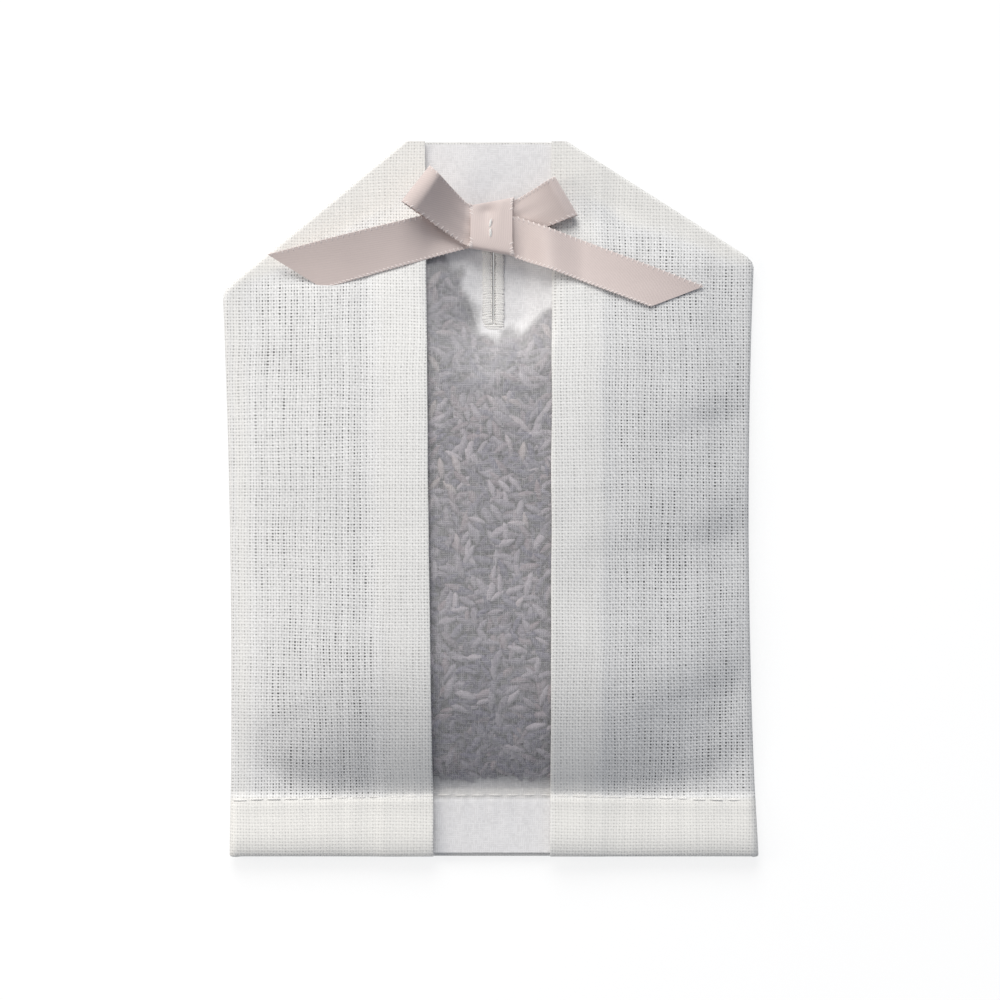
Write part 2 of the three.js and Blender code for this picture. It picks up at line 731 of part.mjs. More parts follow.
add("linen_jacket", jacketGeometry(), LINEN_COLOUR, 0.95);
add("pouch_front", pouchFrontGeometry(), VOILE_COLOUR, 0.9);
add("pouch_back", pouchBackGeometry(), VOILE_COLOUR, 0.9);
add("lavender_fill", fillGeometry(), LAVENDER_COLOUR, 1);
add("buttonhole_edging", edgingGeometry(), THREAD_COLOUR, 0.8);
add("hem_thread", hemThreadGeometry(), THREAD_COLOUR, 0.8);
add("knot_band", shell(knotGrid(0), knotGrid(RIBBON), true), RIBBON_COLOUR, 0.45);
add("bow_core", coreGeometry(), RIBBON_COLOUR, 0.5);
add("bow_left_tail", leftTail, RIBBON_COLOUR, 0.45);
add("bow_left_loop", leftLoop, RIBBON_COLOUR, 0.45);
add("bow_right_loop", rightLoop, RIBBON_COLOUR, 0.45);
add("bow_right_tail", rightTail, RIBBON_COLOUR, 0.45);
add("tack_thread", tackGeometry(), THREAD_COLOUR, 0.8);

export default sachet;
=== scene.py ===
import math
import random

import bpy
from mathutils import Matrix, Vector, geometry, noise


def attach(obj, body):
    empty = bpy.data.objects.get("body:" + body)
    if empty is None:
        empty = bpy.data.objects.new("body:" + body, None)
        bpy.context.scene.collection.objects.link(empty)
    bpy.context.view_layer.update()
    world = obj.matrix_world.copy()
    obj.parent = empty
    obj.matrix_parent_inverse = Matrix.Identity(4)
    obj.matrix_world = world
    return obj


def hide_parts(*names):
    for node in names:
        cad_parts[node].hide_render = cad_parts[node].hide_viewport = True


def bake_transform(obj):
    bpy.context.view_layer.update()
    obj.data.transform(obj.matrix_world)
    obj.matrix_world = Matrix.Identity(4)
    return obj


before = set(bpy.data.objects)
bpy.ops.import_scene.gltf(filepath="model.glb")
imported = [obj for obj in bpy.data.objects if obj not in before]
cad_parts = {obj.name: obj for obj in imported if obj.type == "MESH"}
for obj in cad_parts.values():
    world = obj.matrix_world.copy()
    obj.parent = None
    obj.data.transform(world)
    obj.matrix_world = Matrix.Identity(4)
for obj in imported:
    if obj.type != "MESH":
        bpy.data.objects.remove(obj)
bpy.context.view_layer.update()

bl_info = {
    "name": "Lavender Sachet",
    "version": (1, 0, 0),
    "blender": (4, 5, 0),
    "location": "3D View > Sidebar > Sachet",
    "description": "Linen jacket round a sheer pouch of lavender, with a worked buttonhole and a satin bow",
    "category": "Object",
}

# Lengths below are millimetres, as in the solids that carry the pieces. MM turns them into metres.
MM = 0.001
SEED = 7

# Outline of the jacket, each side measured from the middle line.
TOP = 80.0
BOTTOM = -80.0
LEFT = {
    "collar": 19.4, "shoulder": 60.0, "drop": 33.3, "hem": 58.4, "pull": 1.0,
    "edge_top": 14.6, "edge_hem": 12.7, "fill_over": 0.8, "turning": (2.0, 11.0),
}
RIGHT = {
    "collar": 17.3, "shoulder": 59.0, "drop": 26.6, "hem": 60.0, "pull": 1.7,
    "edge_top": 13.6, "edge_hem": 13.3, "fill_over": 4.2, "turning": (3.0, 11.0),
}
CORNER_SOFTNESS = 2.5
FACING = 12.0
TURNING_RUN = 40.0
STITCH_Y = -66.8
LAYER_STEP = 0.34

# The hem's turn starts this far above the lower edge, and its stitches draw the cloth in at this pitch.
HEM_FOLD = 1.2
HEM_STITCH = 3.8
HEM_END = 56.0

# Levels of the layers where nothing lies in the pouch, and what the turned-up hem adds to each.
HEM_TURN = 0.5
POUCH_BACK_LOW = 0.8
POUCH_FRONT_LOW = 1.4
POUCH_FRONT_TOP = 1.7
FRONT_TOP = 2.5
POUCH_LOW_EDGE = -79.1
POUCH_HIGH_EDGE = 79.4

# Swelling of the lavender.
CROWN = 12.4
CROWN_Y = -20.0
FILL_TOP = 67.0
FILL_BOTTOM = -64.8
PILLOW_CORNER_TOP = 3.6
PILLOW_CORNER_LOW = 5.0
PILLOW_SOFTNESS = 0.14
PILLOW_FALL_TOP = 2.3
PILLOW_FALL_LOW = 2.9
FALL_BLEND = 40.0
FILL_SHARE = 0.94
SLACK = 0.35
SLACK_CORNER = (64.0, -70.0)
SLACK_REACH = 42.0
SLACK_FADE = 36.0
HEAP_FLOOR = 1.3
HEAP_INSIDE = 1.6
BUD_SIDE = 56.0
GAP_HALF = 16.5
HIDDEN_SPACING = 3.6

# Buttonhole, where the layers are sewn together and no buds lie.
BUTTONHOLE_X = 0.65
BUTTONHOLE_LOW = 37.8
BUTTONHOLE_HIGH = 62.3
SLIT_HALF = 0.26
SLIT_BACK_HALF = 0.06
SLIT_LOW = 39.8
SLIT_HIGH = 60.3
PINCH = 2.5
PINCH_RIGHT = 5.0
PINCH_SLOPE = 14.0
PINCH_LOW = 42.3
BUD_FREE = (
    (-8.5, 80.0), (-7.9, 55.2), (-6.1, 51.6), (-5.0, 46.7), (-3.5, 41.8), (-1.2, 38.2), (2.1, 37.1),
    (6.6, 38.4), (9.9, 40.4), (13.3, 43.4), (16.0, 47.0), (24.0, 80.0),
)
LEG_AWAY = 1.36
LEG_LEAN = 0.16
LEG_PITCH = 0.52
BAR_ROOM = 1.3

# Paleness of the voile where no buds lie behind it: in the bay round the buttonhole, and beside it.
BAY_PALE = 0.79
BAY_MIDDLE = 0.72
BAY_SOFTNESS = 2.8
BAY_WAVE = 2.4
BESIDE_PALE = 0.16
BESIDE_REACH = 26.0

# Bow.
KNOT_Y = 60.7
KNOT_LEFT_X = -4.6
KNOT_RIGHT_X = 5.0
KNOT_LOW = 3.3
KNOT_HIGH = 6.5
CORE_LOW = 4.0
BOW_LAYER = 0.7
BOW_REST = 0.12
RIBBON_WIDTH = 9.5
RIBBON_BED_HALF = 4.6
TAIL_LENGTH = 40.0
TICK_PITCH = 1.1
TWILL_PITCH = 0.5
STRAND_PITCH = 0.42

# A station of 1 across a cloth is this far from the middle line. Columns that are nearer to it than the next two
# lengths, in the back and in the pouch, stay straight, and the others spread out to the sides.
STATION_SPAN = 57.0
BACK_STRAIGHT = 5.0
POUCH_STRAIGHT = 18.0
FINE_BELOW = -60.0

# The weave of a hidden layer lies this far along the flat cloth.
BACK_WEAVE = 300
FACING_WEAVE = 600
TURNING_WEAVE = 900

# Where the hem has turned by more than this angle, the cloth faces inwards.
INWARD_TURN = 1.6


# ---------------------------------------------------------------- shapes that the pieces share

def mix(a, b, share):
    return a + (b - a) * share


def clamp(value):
    return min(1.0, max(0.0, value))


def smooth(value):
    share = clamp(value)
    return share * share * (3 - 2 * share)


def soft_min(a, b, blend):
    near = max(blend - abs(a - b), 0.0) / blend
    return min(a, b) - near * near * blend / 4


def bell(distance, width):
    return math.exp(-(distance / width) ** 2)


def ripple(x, y, size, seed):
    """Smooth random rise and fall, from about -1 to 1."""
    return noise.noise(Vector((x / size, y / size, seed)))


def side_of(x):
    return LEFT if x < 0 else RIGHT


def reach(side, y):
    """Distance from the middle line to one side of the outline."""
    corner = TOP - side["drop"]
    slope = mix(side["shoulder"], side["collar"], (y - corner) / side["drop"])
    share = clamp((corner - y) / (corner - BOTTOM))
    flank = mix(side["shoulder"], side["hem"], share) - side["pull"] * 4 * share * (1 - share)
    return soft_min(slope, flank, CORNER_SOFTNESS)


def edge(side, y):
    """Distance from the middle line to the free edge of one front."""
    wave = 0.16 * ripple(y, 0, 14, 3.3 if side is LEFT else 8.8)
    return mix(side["edge_hem"], side["edge_top"], (y - BOTTOM) / (TOP - BOTTOM)) + wave


def stitch_line(x):
    """Height of the row of hem stitches, which sags a little towards the sides."""
    return STITCH_Y + 0.5 - 0.022 * max(0.0, abs(x) - 12)


def hem_turn(y):
    return HEM_TURN * smooth((STITCH_Y + 1.2 - y) / 1.6)


def fold_radius(y):
    return FRONT_TOP / 2 + hem_turn(y)


def pinch_rise(x, y):
    """Share of the swelling that is left near the buttonhole."""
    across = x - BUTTONHOLE_X if x < BUTTONHOLE_X else max(0.0, x - BUTTONHOLE_X - PINCH_RIGHT) * 1.6
    along = min(0.0, y - PINCH_LOW)
    return smooth((math.hypot(across, along) - PINCH) / PINCH_SLOPE)


def cushion_size(across, along):
    """How far out a point of the cushion is: 1 on its outline, which is squarer below than above."""
    power = mix(PILLOW_CORNER_TOP, PILLOW_CORNER_LOW, smooth(0.5 - along))
    return (abs(across) ** power + abs(along) ** power) ** (1 / power)


def fill_reach(x, y):
    """Distance from the middle line to where the fill would end, a little past the fold of the linen."""
    side = side_of(x)
    return reach(side, y) - fold_radius(y) + side["fill_over"]


def heap_reach(x, y):
    """Distance from the middle line to where the heap itself ends, inside the fold of the linen."""
    side = side_of(x)
    return min(fill_reach(x, y) * FILL_SHARE, reach(side, y) - fold_radius(y) - HEAP_INSIDE)


def fill_out(x, y):
    """How far out in the fill a point is: 0 at its crown, 1 on its outline."""
    span = CROWN_Y - FILL_BOTTOM if y < CROWN_Y else FILL_TOP - CROWN_Y
    return cushion_size(x / fill_reach(x, y), (y - CROWN_Y) / span)


def crown(x, y):
    """Height that the lavender lifts the cloth by."""
    fall = mix(PILLOW_FALL_TOP, PILLOW_FALL_LOW, smooth((CROWN_Y + FALL_BLEND / 2 - y) / FALL_BLEND))
    slack = SLACK * smooth((SLACK_REACH - math.dist((x, y), SLACK_CORNER)) / SLACK_FADE)
    full = -soft_min(fill_out(x, y) ** fall - 1, 0.0, PILLOW_SOFTNESS)
    return CROWN * full * pinch_rise(x, y) * (1 - slack)


def crease(x, y, start, end, depth, width):
    """A soft groove from one point to another, steep above and gentle below, which fades at its ends."""
    run = Vector(end) - Vector(start)
    offset = Vector((x, y)) - Vector(start)
    along = offset.dot(run) / run.length_squared
    if not 0 < along < 1:
        return 0.0
    aside = run.cross(offset) * (1 if run.x > 0 else -1) / run.length
    return depth * math.sin(math.pi * along) * bell(aside, width if aside > 0 else 2.6 * width)


# Grooves in the fronts: start, end, depth and width.
CREASES = (
    ((-58, -59), (-33, -43), 0.4, 3.0),
    ((15, -15.5), (101, -2.5), 1.1, 4.8),
    ((24, -53), (100, -28), 1.0, 5.0),
    ((36, 12), (80, 24.4), 1.1, 4.2),
    ((-57, 40), (-40, 22), 0.3, 3.5),
    ((57, 46), (38, 24), 0.3, 4.0),
    ((-24, -63), (-26, -44), 0.2, 2.2),
)


def lift(x, y):
    """How far the filled pouch and the fronts stand above their flat levels."""
    swell = crown(x, y)
    loose = smooth(swell / 4)
    rumple = 0.4 * ripple(x, y, 24, 0.4) + 0.14 * ripple(x, y, 8, 5.2)
    grooves = sum(crease(x, y, *line) for line in CREASES)
    return swell + loose * (rumple - grooves)


def facing_share(x, y):
    """1 over a facing and in the gap between the fronts, 0 over single cloth."""
    side = side_of(x)
    return 1 - smooth((abs(x) - edge(side, y) - FACING + 1) / 2.4)


def front_top(x, y):
    """Outer face of the fronts, carried on across the gap between them."""
    return FRONT_TOP + 2 * hem_turn(y) + lift(x, y) + LAYER_STEP * facing_share(x, y)


def pucker(x, y):
    """Cloth drawn in along the row of hem stitches."""
    off = y - stitch_line(x)
    pull = 0.34 * bell(off, 0.75) * (0.8 + 0.2 * math.cos(2 * math.pi * x / HEM_STITCH))
    wave = 0.11 * math.sin(2 * math.pi * x / 6.3 + 3 * ripple(x, 0, 15, 2.0)) * math.exp(-abs(off) / 4.5)
    across = clamp(-off / (stitch_line(x) - BOTTOM))
    full = 0.95 * smooth(across / 0.75) * (1 - across ** 10) * (1 + 0.3 * ripple(x, 0, 16, 7.7))
    return wave - pull + full


def slope_of(height, x, y):
    """Unit normal, pointing up, of a surface that is given by its height."""
    step = 0.2
    rise_x = (height(x + step, y) - height(x - step, y)) / (2 * step)
    rise_y = (height(x, y + step) - height(x, y - step)) / (2 * step)
    return Vector((-rise_x, -rise_y, 1)).normalized()


def shoulder_place(x, y):
    """Distance in from the slanting fold of the shoulder, and along it from its outer corner."""
    side = side_of(x)
    run = Vector((-side["shoulder"] + side["collar"], side["drop"])).normalized()
    offset = Vector((abs(x) - side["shoulder"], y - TOP + side["drop"]))
    return run.cross(offset), run.dot(offset)


def turning_depth(side, along):
    """Depth of the turning under a shoulder, which narrows towards the outer corner."""
    return mix(*side["turning"], clamp(along / TURNING_RUN))


# ---------------------------------------------------------------- modelling helpers

def deselect():
    if bpy.context.mode != "OBJECT":
        bpy.ops.object.mode_set(mode="OBJECT")
    bpy.ops.object.select_all(action="DESELECT")


def activate(piece):
    deselect()
    piece.select_set(True)
    bpy.context.view_layer.objects.active = piece


def named(name):
    piece = bpy.context.object
    piece.name = name
    piece.data.name = name
    return piece


def spread(start, end, count):
    return [mix(start, end, i / count) for i in range(count + 1)]


def spread_out(station, straight, room):
    """Place across a cloth: even near the middle line, then spread over the room that is left at the side."""
    x = station * STATION_SPAN
    if abs(x) > straight:
        x = math.copysign(straight + (abs(x) - straight) / (STATION_SPAN - straight) * room, x)
    return x


def cloth_grid(name, columns, rows, place, weave):
    """A grid of cloth. Each corner goes to place(column, row) in millimetres.
    weave(column, row, cell) is where the corner lies in the flat cloth, for a face of that column of cells."""
    deselect()
    bpy.ops.mesh.primitive_grid_add(x_subdivisions=columns, y_subdivisions=rows, size=1)
    piece = named(name)
    mesh = piece.data
    spots = [(round((v.co.x + 0.5) * columns), round((v.co.y + 0.5) * rows)) for v in mesh.vertices]
    for vertex, spot in zip(mesh.vertices, spots):
        vertex.co = Vector(place(*spot)) * MM
    layer = mesh.uv_layers.active
    layer.name = "weave"
    for face in mesh.polygons:
        cell = min(spots[v][0] for v in face.vertices)
        for loop in face.loop_indices:
            column, row = spots[mesh.loops[loop].vertex_index]
            layer.data[loop].uv = weave(column, row, cell)
    mesh.update()
    return piece, spots


def point_values(piece, name, values):
    attribute = piece.data.attributes.new(name, "FLOAT", "POINT")
    attribute.data.foreach_set("value", values)


def apply_modifier(piece, kind, **settings):
    activate(piece)
    modifier = piece.modifiers.new(kind.title(), kind)
    for name, value in settings.items():
        setattr(modifier, name, value)
    bpy.ops.object.modifier_apply(modifier=modifier.name)


def thicken(piece, thickness, offset=-1.0):
    apply_modifier(piece, "SOLIDIFY", thickness=thickness, offset=offset, use_even_offset=False)


def smooth_shading(piece, degrees=60):
    activate(piece)
    bpy.ops.object.shade_smooth_by_angle(angle=math.radians(degrees))


def select_faces(piece, test):
    """Selects the faces whose middle, in millimetres, passes the test, and goes to edit mode."""
    activate(piece)
    for face in piece.data.polygons:
        face.select = test(*(face.center / MM))
    for part in (piece.data.edges, piece.data.vertices):
        part.foreach_set("select", [False] * len(part))
    bpy.ops.object.mode_set(mode="EDIT")
    bpy.ops.mesh.select_mode(type="FACE")


def cut_slit(piece, half, test):
    """Takes out the faces in the slit of the buttonhole."""
    def in_slit(x, y, z):
        return abs(x - BUTTONHOLE_X) < half and SLIT_LOW < y < SLIT_HIGH and test(z)
    select_faces(piece, in_slit)
    bpy.ops.mesh.delete(type="FACE")
    bpy.ops.object.mode_set(mode="OBJECT")


def bridge_rims(piece, test):
    """Joins two open rims whose edges pass the test on their middle, in millimetres."""
    activate(piece)
    bpy.ops.object.mode_set(mode="EDIT")
    bpy.ops.mesh.select_mode(type="EDGE")
    bpy.ops.mesh.select_all(action="DESELECT")
    bpy.ops.mesh.select_non_manifold(
        extend=False, use_wire=False, use_multi_face=False, use_non_contiguous=False, use_verts=False)
    bpy.ops.object.mode_set(mode="OBJECT")
    mesh = piece.data
    for line in mesh.edges:
        if line.select:
            middle = (mesh.vertices[line.vertices[0]].co + mesh.vertices[line.vertices[1]].co) / 2
            line.select = test(*(middle / MM))
    mesh.vertices.foreach_set("select", [False] * len(mesh.vertices))
    mesh.polygons.foreach_set("select", [False] * len(mesh.polygons))
    for line in mesh.edges:
        if line.select:
            for vertex in line.vertices:
                mesh.vertices[vertex].select = True
    bpy.ops.object.mode_set(mode="EDIT")
    bpy.ops.mesh.bridge_edge_loops()
    bpy.ops.mesh.select_all(action="SELECT")
    bpy.ops.mesh.normals_make_consistent(inside=False)
    bpy.ops.object.mode_set(mode="OBJECT")


def join_into(piece, *others):
    deselect()
    for other in others:
        other.select_set(True)
    piece.select_set(True)
    bpy.context.view_layer.objects.active = piece
    bpy.ops.object.join()
    return piece


def bead(name, length, width, height, segments=6, rings=4, shape=None):
    """A long bead along X, the start of a stitch, a selvedge tick or a bud. shape reshapes each point of it."""
    deselect()
    bpy.ops.mesh.primitive_uv_sphere_add(segments=segments, ring_count=rings, radius=0.5)
    bpy.ops.object.mode_set(mode="EDIT")
    bpy.ops.mesh.select_all(action="SELECT")
    bpy.ops.transform.rotate(value=math.pi / 2, orient_axis="Y", center_override=(0, 0, 0))
    bpy.ops.transform.resize(value=(length * MM, width * MM, height * MM), center_override=(0, 0, 0))
    bpy.ops.object.mode_set(mode="OBJECT")
    piece = named(name)
    if shape:
        for vertex in piece.data.vertices:
            vertex.co = Vector(shape(*(vertex.co / MM))) * MM
    return piece


def repeat(name, pattern, places, values=None):
    """One mesh of many copies of a modelled shape, each at its own place. The pattern itself is removed."""
    points = [v.co.copy() for v in pattern.data.vertices]
    faces = [tuple(f.vertices) for f in pattern.data.polygons]
    mesh = bpy.data.meshes.new(name)
    mesh.from_pydata(
        [place @ point for place in places for point in points],
        [],
        [tuple(i * len(points) + v for v in face) for i in range(len(places)) for face in faces],
    )
    piece = bpy.data.objects.new(name, mesh)
    bpy.context.scene.collection.objects.link(piece)
    old = pattern.data
    bpy.data.objects.remove(pattern)
    bpy.data.meshes.remove(old)
    if values:
        point_values(piece, "tone", [value for value in values for _ in points])
    mesh.polygons.foreach_set("use_smooth", [True] * len(mesh.polygons))
    return piece


def laid(point, along, up):
    """Placing of a bead at a point in millimetres, with its length along one direction and its top up another."""
    first = Vector(along).normalized()
    third = (Vector(up) - first * first.dot(Vector(up))).normalized()
    second = third.cross(first)
    turn = Matrix((first, second, third)).transposed().to_4x4()
    return Matrix.Translation(Vector(point) * MM) @ turn


def finish_piece(piece, body, slot, material, *nodes):
    """Gives a piece its finish and its body, and hides the solids that it stands for."""
    if not piece.data.materials:
        piece.data.materials.append(material)
    if body:
        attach(piece, body)
    if nodes:
        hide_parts(*nodes)


# ---------------------------------------------------------------- finishes

class Level:
    """A number that the nodes of a finish work out. Each step on it adds one Math node."""

    def __init__(self, finish, socket):
        self.finish = finish
        self.socket = socket

    def __add__(self, other):
        return self.finish.calc("ADD", self, other)

    def __sub__(self, other):
        return self.finish.calc("SUBTRACT", self, other)

    def __rsub__(self, other):
        return self.finish.calc("SUBTRACT", other, self)

    def __mul__(self, other):
        return self.finish.calc("MULTIPLY", self, other)

    def __truediv__(self, other):
        return self.finish.calc("DIVIDE", self, other)

    def __mod__(self, other):
        return self.finish.calc("MODULO", self, other)

    def __abs__(self):
        return self.finish.calc("ABSOLUTE", self)

    def __floor__(self):
        return self.finish.calc("FLOOR", self)


class Finish:
    """A node material, or a world, that is built up by calls that each add one node."""

    def __init__(self, name, kind="materials"):
        self.material = getattr(bpy.data, kind).new(name)
        self.material.use_nodes = True
        self.tree = self.material.node_tree
        self.tree.nodes.clear()

    def add(self, kind, inputs=(), **settings):
        node = self.tree.nodes.new(kind)
        for name, value in settings.items():
            setattr(node, name, value)
        for name, value in dict(inputs).items():
            self.feed(node.inputs[name], value)
        return node

    def feed(self, socket, value):
        if isinstance(value, Level):
            value = value.socket
        if isinstance(value, bpy.types.NodeSocket):
            self.tree.links.new(value, socket)
        else:
            socket.default_value = value

    def level(self, kind, inputs, output=0, **settings):
        """Adds a node and gives one of its outputs as a number."""
        return Level(self, self.add(kind, inputs, **settings).outputs[output])

    def calc(self, operation, *values):
        return self.level("ShaderNodeMath", enumerate(values), operation=operation)

    def ramp(self, value, low, high, start=0.0, end=1.0):
        """Smooth step from start to end while value goes from low to high."""
        inputs = {"Value": value, "From Min": low, "From Max": high, "To Min": start, "To Max": end}
        return self.level("ShaderNodeMapRange", inputs, interpolation_type="SMOOTHSTEP")

    def vector(self, x, y, z=0.0):
        return self.add("ShaderNodeCombineXYZ", {"X": x, "Y": y, "Z": z}).outputs[0]

    def noise(self, x, y, z=0.0, scale=1.0, detail=1.0):
        inputs = {"Vector": self.vector(x, y, z), "Scale": scale, "Detail": detail}
        return self.level("ShaderNodeTexNoise", inputs, "Fac")

    def random(self, x, y=0.0, z=0.0):
        return self.level("ShaderNodeTexWhiteNoise", {"Vector": self.vector(x, y, z)}, "Value")

    def parts(self, place):
        """The first two parts of a place."""
        node = self.add("ShaderNodeSeparateXYZ", {"Vector": place})
        return Level(self, node.outputs["X"]), Level(self, node.outputs["Y"])

    def cloth_place(self):
        """Where a point lies in the flat cloth, in millimetres."""
        return self.parts(self.add("ShaderNodeUVMap", uv_map="weave").outputs[0])

    def object_place(self):
        return self.add("ShaderNodeTexCoord").outputs["Object"]

    def value_of(self, name):
        return self.level("ShaderNodeAttribute", {}, "Fac", attribute_name=name)

    def product(self, first, second):
        return self.add("ShaderNodeVectorMath", {0: first, 1: second}, operation="MULTIPLY").outputs[0]

    def tint(self, colour, shade):
        """A colour times a grey level."""
        return self.product(self.vector(shade, shade, shade), colour)

    def between(self, share, first, second):
        """A colour this share of the way from the first to the second."""
        node = self.add("ShaderNodeMix", {0: share}, data_type="RGBA")
        node.inputs[6].default_value = (*first, 1)
        node.inputs[7].default_value = (*second, 1)
        return node.outputs[2]

    def bump(self, height, distance, strength):
        inputs = {"Height": height, "Distance": distance, "Strength": strength}
        return self.add("ShaderNodeBump", inputs).outputs[0]

    def surface(self, inputs):
        shader = self.add("ShaderNodeBsdfPrincipled", inputs)
        self.add("ShaderNodeOutputMaterial", {"Surface": shader.outputs[0]})
        return self.material


def thread_line(place, pitch):
    """Along one direction of a weave: the thread's number and how far a point is across it, from 0 to 1."""
    turns = place / pitch
    number = math.floor(turns)
    return number, turns - number


def thread_round(across):
    """Height over a round thread: 1 on its middle, 0 at its sides."""
    off = abs(across - 0.5)
    return 1.0 - off * off * 4.0


def thread_gap(across, half, soft=0.05):
    """How open the weave is between two threads, from the gap's half width as a share of the thread's pitch."""
    side = 0.5 - abs(across - 0.5)
    return side.finish.ramp(side, half - soft, half + soft, 1.0, 0.0)


def linen_finish(colours, sizes):
    """Open plain weave of slubby threads that lie in pairs, with holes between them."""
    finish = Finish("linen_weave")
    u, v = finish.cloth_place()
    single = finish.value_of("single")
    warp = finish.noise(u * 0.05, v * 0.05, 1.7) * 1.2 + u
    weft = finish.noise(u * 0.05, v * 0.05, 9.3) * 1.2 + v
    warp_pitch = sizes.warp_pair / MM / 2
    weft_pitch = sizes.weft_pair / MM / 2
    warp_number, warp_in = thread_line(warp, warp_pitch)
    weft_number, weft_in = thread_line(weft, weft_pitch)

    # Holes, which are widest between pairs of threads, and in some bands, columns and rows of the cloth.
    warp_side = math.floor(warp / warp_pitch + 0.5)
    weft_side = math.floor(weft / weft_pitch + 0.5)
    band = finish.ramp(finish.noise(u * 0.07, v * 0.014, 3.0), 0.42, 0.64)
    column = finish.ramp(finish.noise(warp_side * 3.17, v * 0.08), 0.42, 0.7)
    row = finish.ramp(finish.noise(u * 0.07, weft_side * 3.71, 12.0), 0.3, 0.68)
    chance = finish.random(warp_side, weft_side, 2.0)
    between = abs(warp_side) % 2.0
    wide = column * (band * 0.6 + 0.4) * (between * 0.7 + 0.3)
    warp_gap = wide * 0.25 + (chance * 0.12 + (between * 0.09 - 0.03))
    weft_gap = row * 0.15 + (chance * 0.09 + 0.06)
    hole = thread_gap(warp_in, warp_gap) * thread_gap(weft_in, weft_gap)

    # Relief, as the threads pass over and under each other.
    turn = abs(warp_number + weft_number) % 2.0
    warp_height, weft_height = thread_round(warp_in), thread_round(weft_in)
    covered = 1.0 - (1.0 - warp_height) * (1.0 - weft_height)
    top = finish.level("ShaderNodeMix", {0: turn, 2: warp_height, 3: weft_height})
    height = top * 0.5 + covered * 0.5 - hole * 0.6

    # Tone, from thread to thread and along each, and painted shade where the relief is low, between the threads
    # and round the holes. Both show less where the cloth is doubled.
    slub = finish.noise(u * 0.11, weft_number * 1.93, 20.0, detail=2.0)
    fibre = finish.noise(u, v, 4.0, scale=2.0, detail=3.0)
    threads = finish.random(7.0, weft_number) * 0.04 + (finish.random(warp_number, 4.0) * 0.08 - 0.29)
    mottle = fibre * 0.4 + (slub * 0.1 + threads)
    thin = single * 0.52 + 0.48
    # Painted shade: the colour darkens by up to a fifth where the relief is low.
    shade = 1.0 - ((1.0 - height) * 0.2 + mottle) * thin
    cool = finish.calc("MINIMUM", single * 1.6, 1.0)
    veil = hole * 0.8 + 0.09
    return finish.surface({
        "Base Color": finish.tint(finish.between(cool, colours.linen, colours.linen_single), shade),
        "Roughness": 0.95,
        "Specular IOR Level": 0.12,
        "Alpha": 1.0 - veil * single,
        "Normal": finish.bump(height * thin, 0.00022, 0.5),
    })


def voile_finish(colours, sizes):
    """Sheer fine weave, half see-through where it is single."""
    finish = Finish("voile_weave")
    u, v = finish.cloth_place()
    dense = finish.value_of("dense")
    drift = finish.noise(u * 0.06, v * 0.06, 2.1)
    pitch = sizes.voile_pitch / MM
    warp_number, warp_in = thread_line(drift * 2.0 + u, pitch)
    weft_number, weft_in = thread_line(drift * 1.6 + v, pitch)
    warp_slub = finish.ramp(finish.noise(warp_number * 3.1, v * 0.7, 1.0), 0.3, 0.7, 0.2, 1.0)
    weft_slub = finish.ramp(finish.noise(u * 0.7, weft_number * 3.1, 5.0), 0.3, 0.7, 0.2, 1.0)
    weave = finish.calc("MAXIMUM", thread_round(warp_in) * warp_slub, thread_round(weft_in) * weft_slub)
    cloud = finish.noise(u * 0.12, v * 0.12, 6.0, detail=2.0)
    cover = (cloud - 0.5) * 0.12 + (weave * 0.18 + (sizes.voile_cover - 0.1))
    height = weave * (dense * -0.75 + 1.0)
    return finish.surface({
        # Painted shade: the colour is a little lighter on the threads than between them, less where the voile is
        # dense.
        "Base Color": finish.tint(colours.voile, height * 0.05 + 0.96),
        "Roughness": 0.85,
        "Specular IOR Level": 0.2,
        "Alpha": finish.calc("MINIMUM", dense * 0.66 + cover, 1.0),
        "Normal": finish.bump(height, 0.00005, 0.4),
    })


# Tones of the buds round a middle one of this level, which the lavender's colour shifts.
BUD_MIDDLE = 0.2
BUD_TONES = (
    (0.0, (0.08, 0.072, 0.1)), (0.16, (0.13, 0.125, 0.172)), (0.34, (0.17, 0.158, 0.182)),
    (0.46, (0.25, 0.205, 0.213)), (0.6, (0.24, 0.228, 0.255)), (0.74, (0.3, 0.282, 0.302)),
    (0.86, (0.4, 0.375, 0.39)), (0.94, (0.39, 0.345, 0.327)), (1.0, (0.29, 0.28, 0.235)),
)


def bud_finish(colours):
    """Dried buds from grey violet to pale lilac and straw, with a fine grain, and the painted shade that their
    tone attribute carries.
    """
    finish = Finish("dried_lavender")
    # The tone attribute holds each bud's own tone, with painted shade on the deeper buds and a darkening towards
    # the bottom.
    tones = finish.add("ShaderNodeValToRGB", {"Fac": finish.value_of("tone")})
    stops = tones.color_ramp.elements
    stops[0].color, stops[1].color = (*BUD_TONES[0][1], 1), (*BUD_TONES[-1][1], 1)
    for position, colour in BUD_TONES[1:-1]:
        stops.new(position).color = (*colour, 1)
    inputs = {"Vector": finish.object_place(), "Scale": 2600.0, "Detail": 3.0}
    grain = finish.level("ShaderNodeTexNoise", inputs, "Fac")
    shift = [channel / BUD_MIDDLE for channel in colours.lavender]
    return finish.surface({
        "Base Color": finish.product(finish.tint(tones.outputs[0], grain * 0.5 + 0.75), shift),
        "Roughness": 0.9,
        "Specular IOR Level": 0.15,
        "Normal": finish.bump(grain, 0.0002, 0.5),
    })


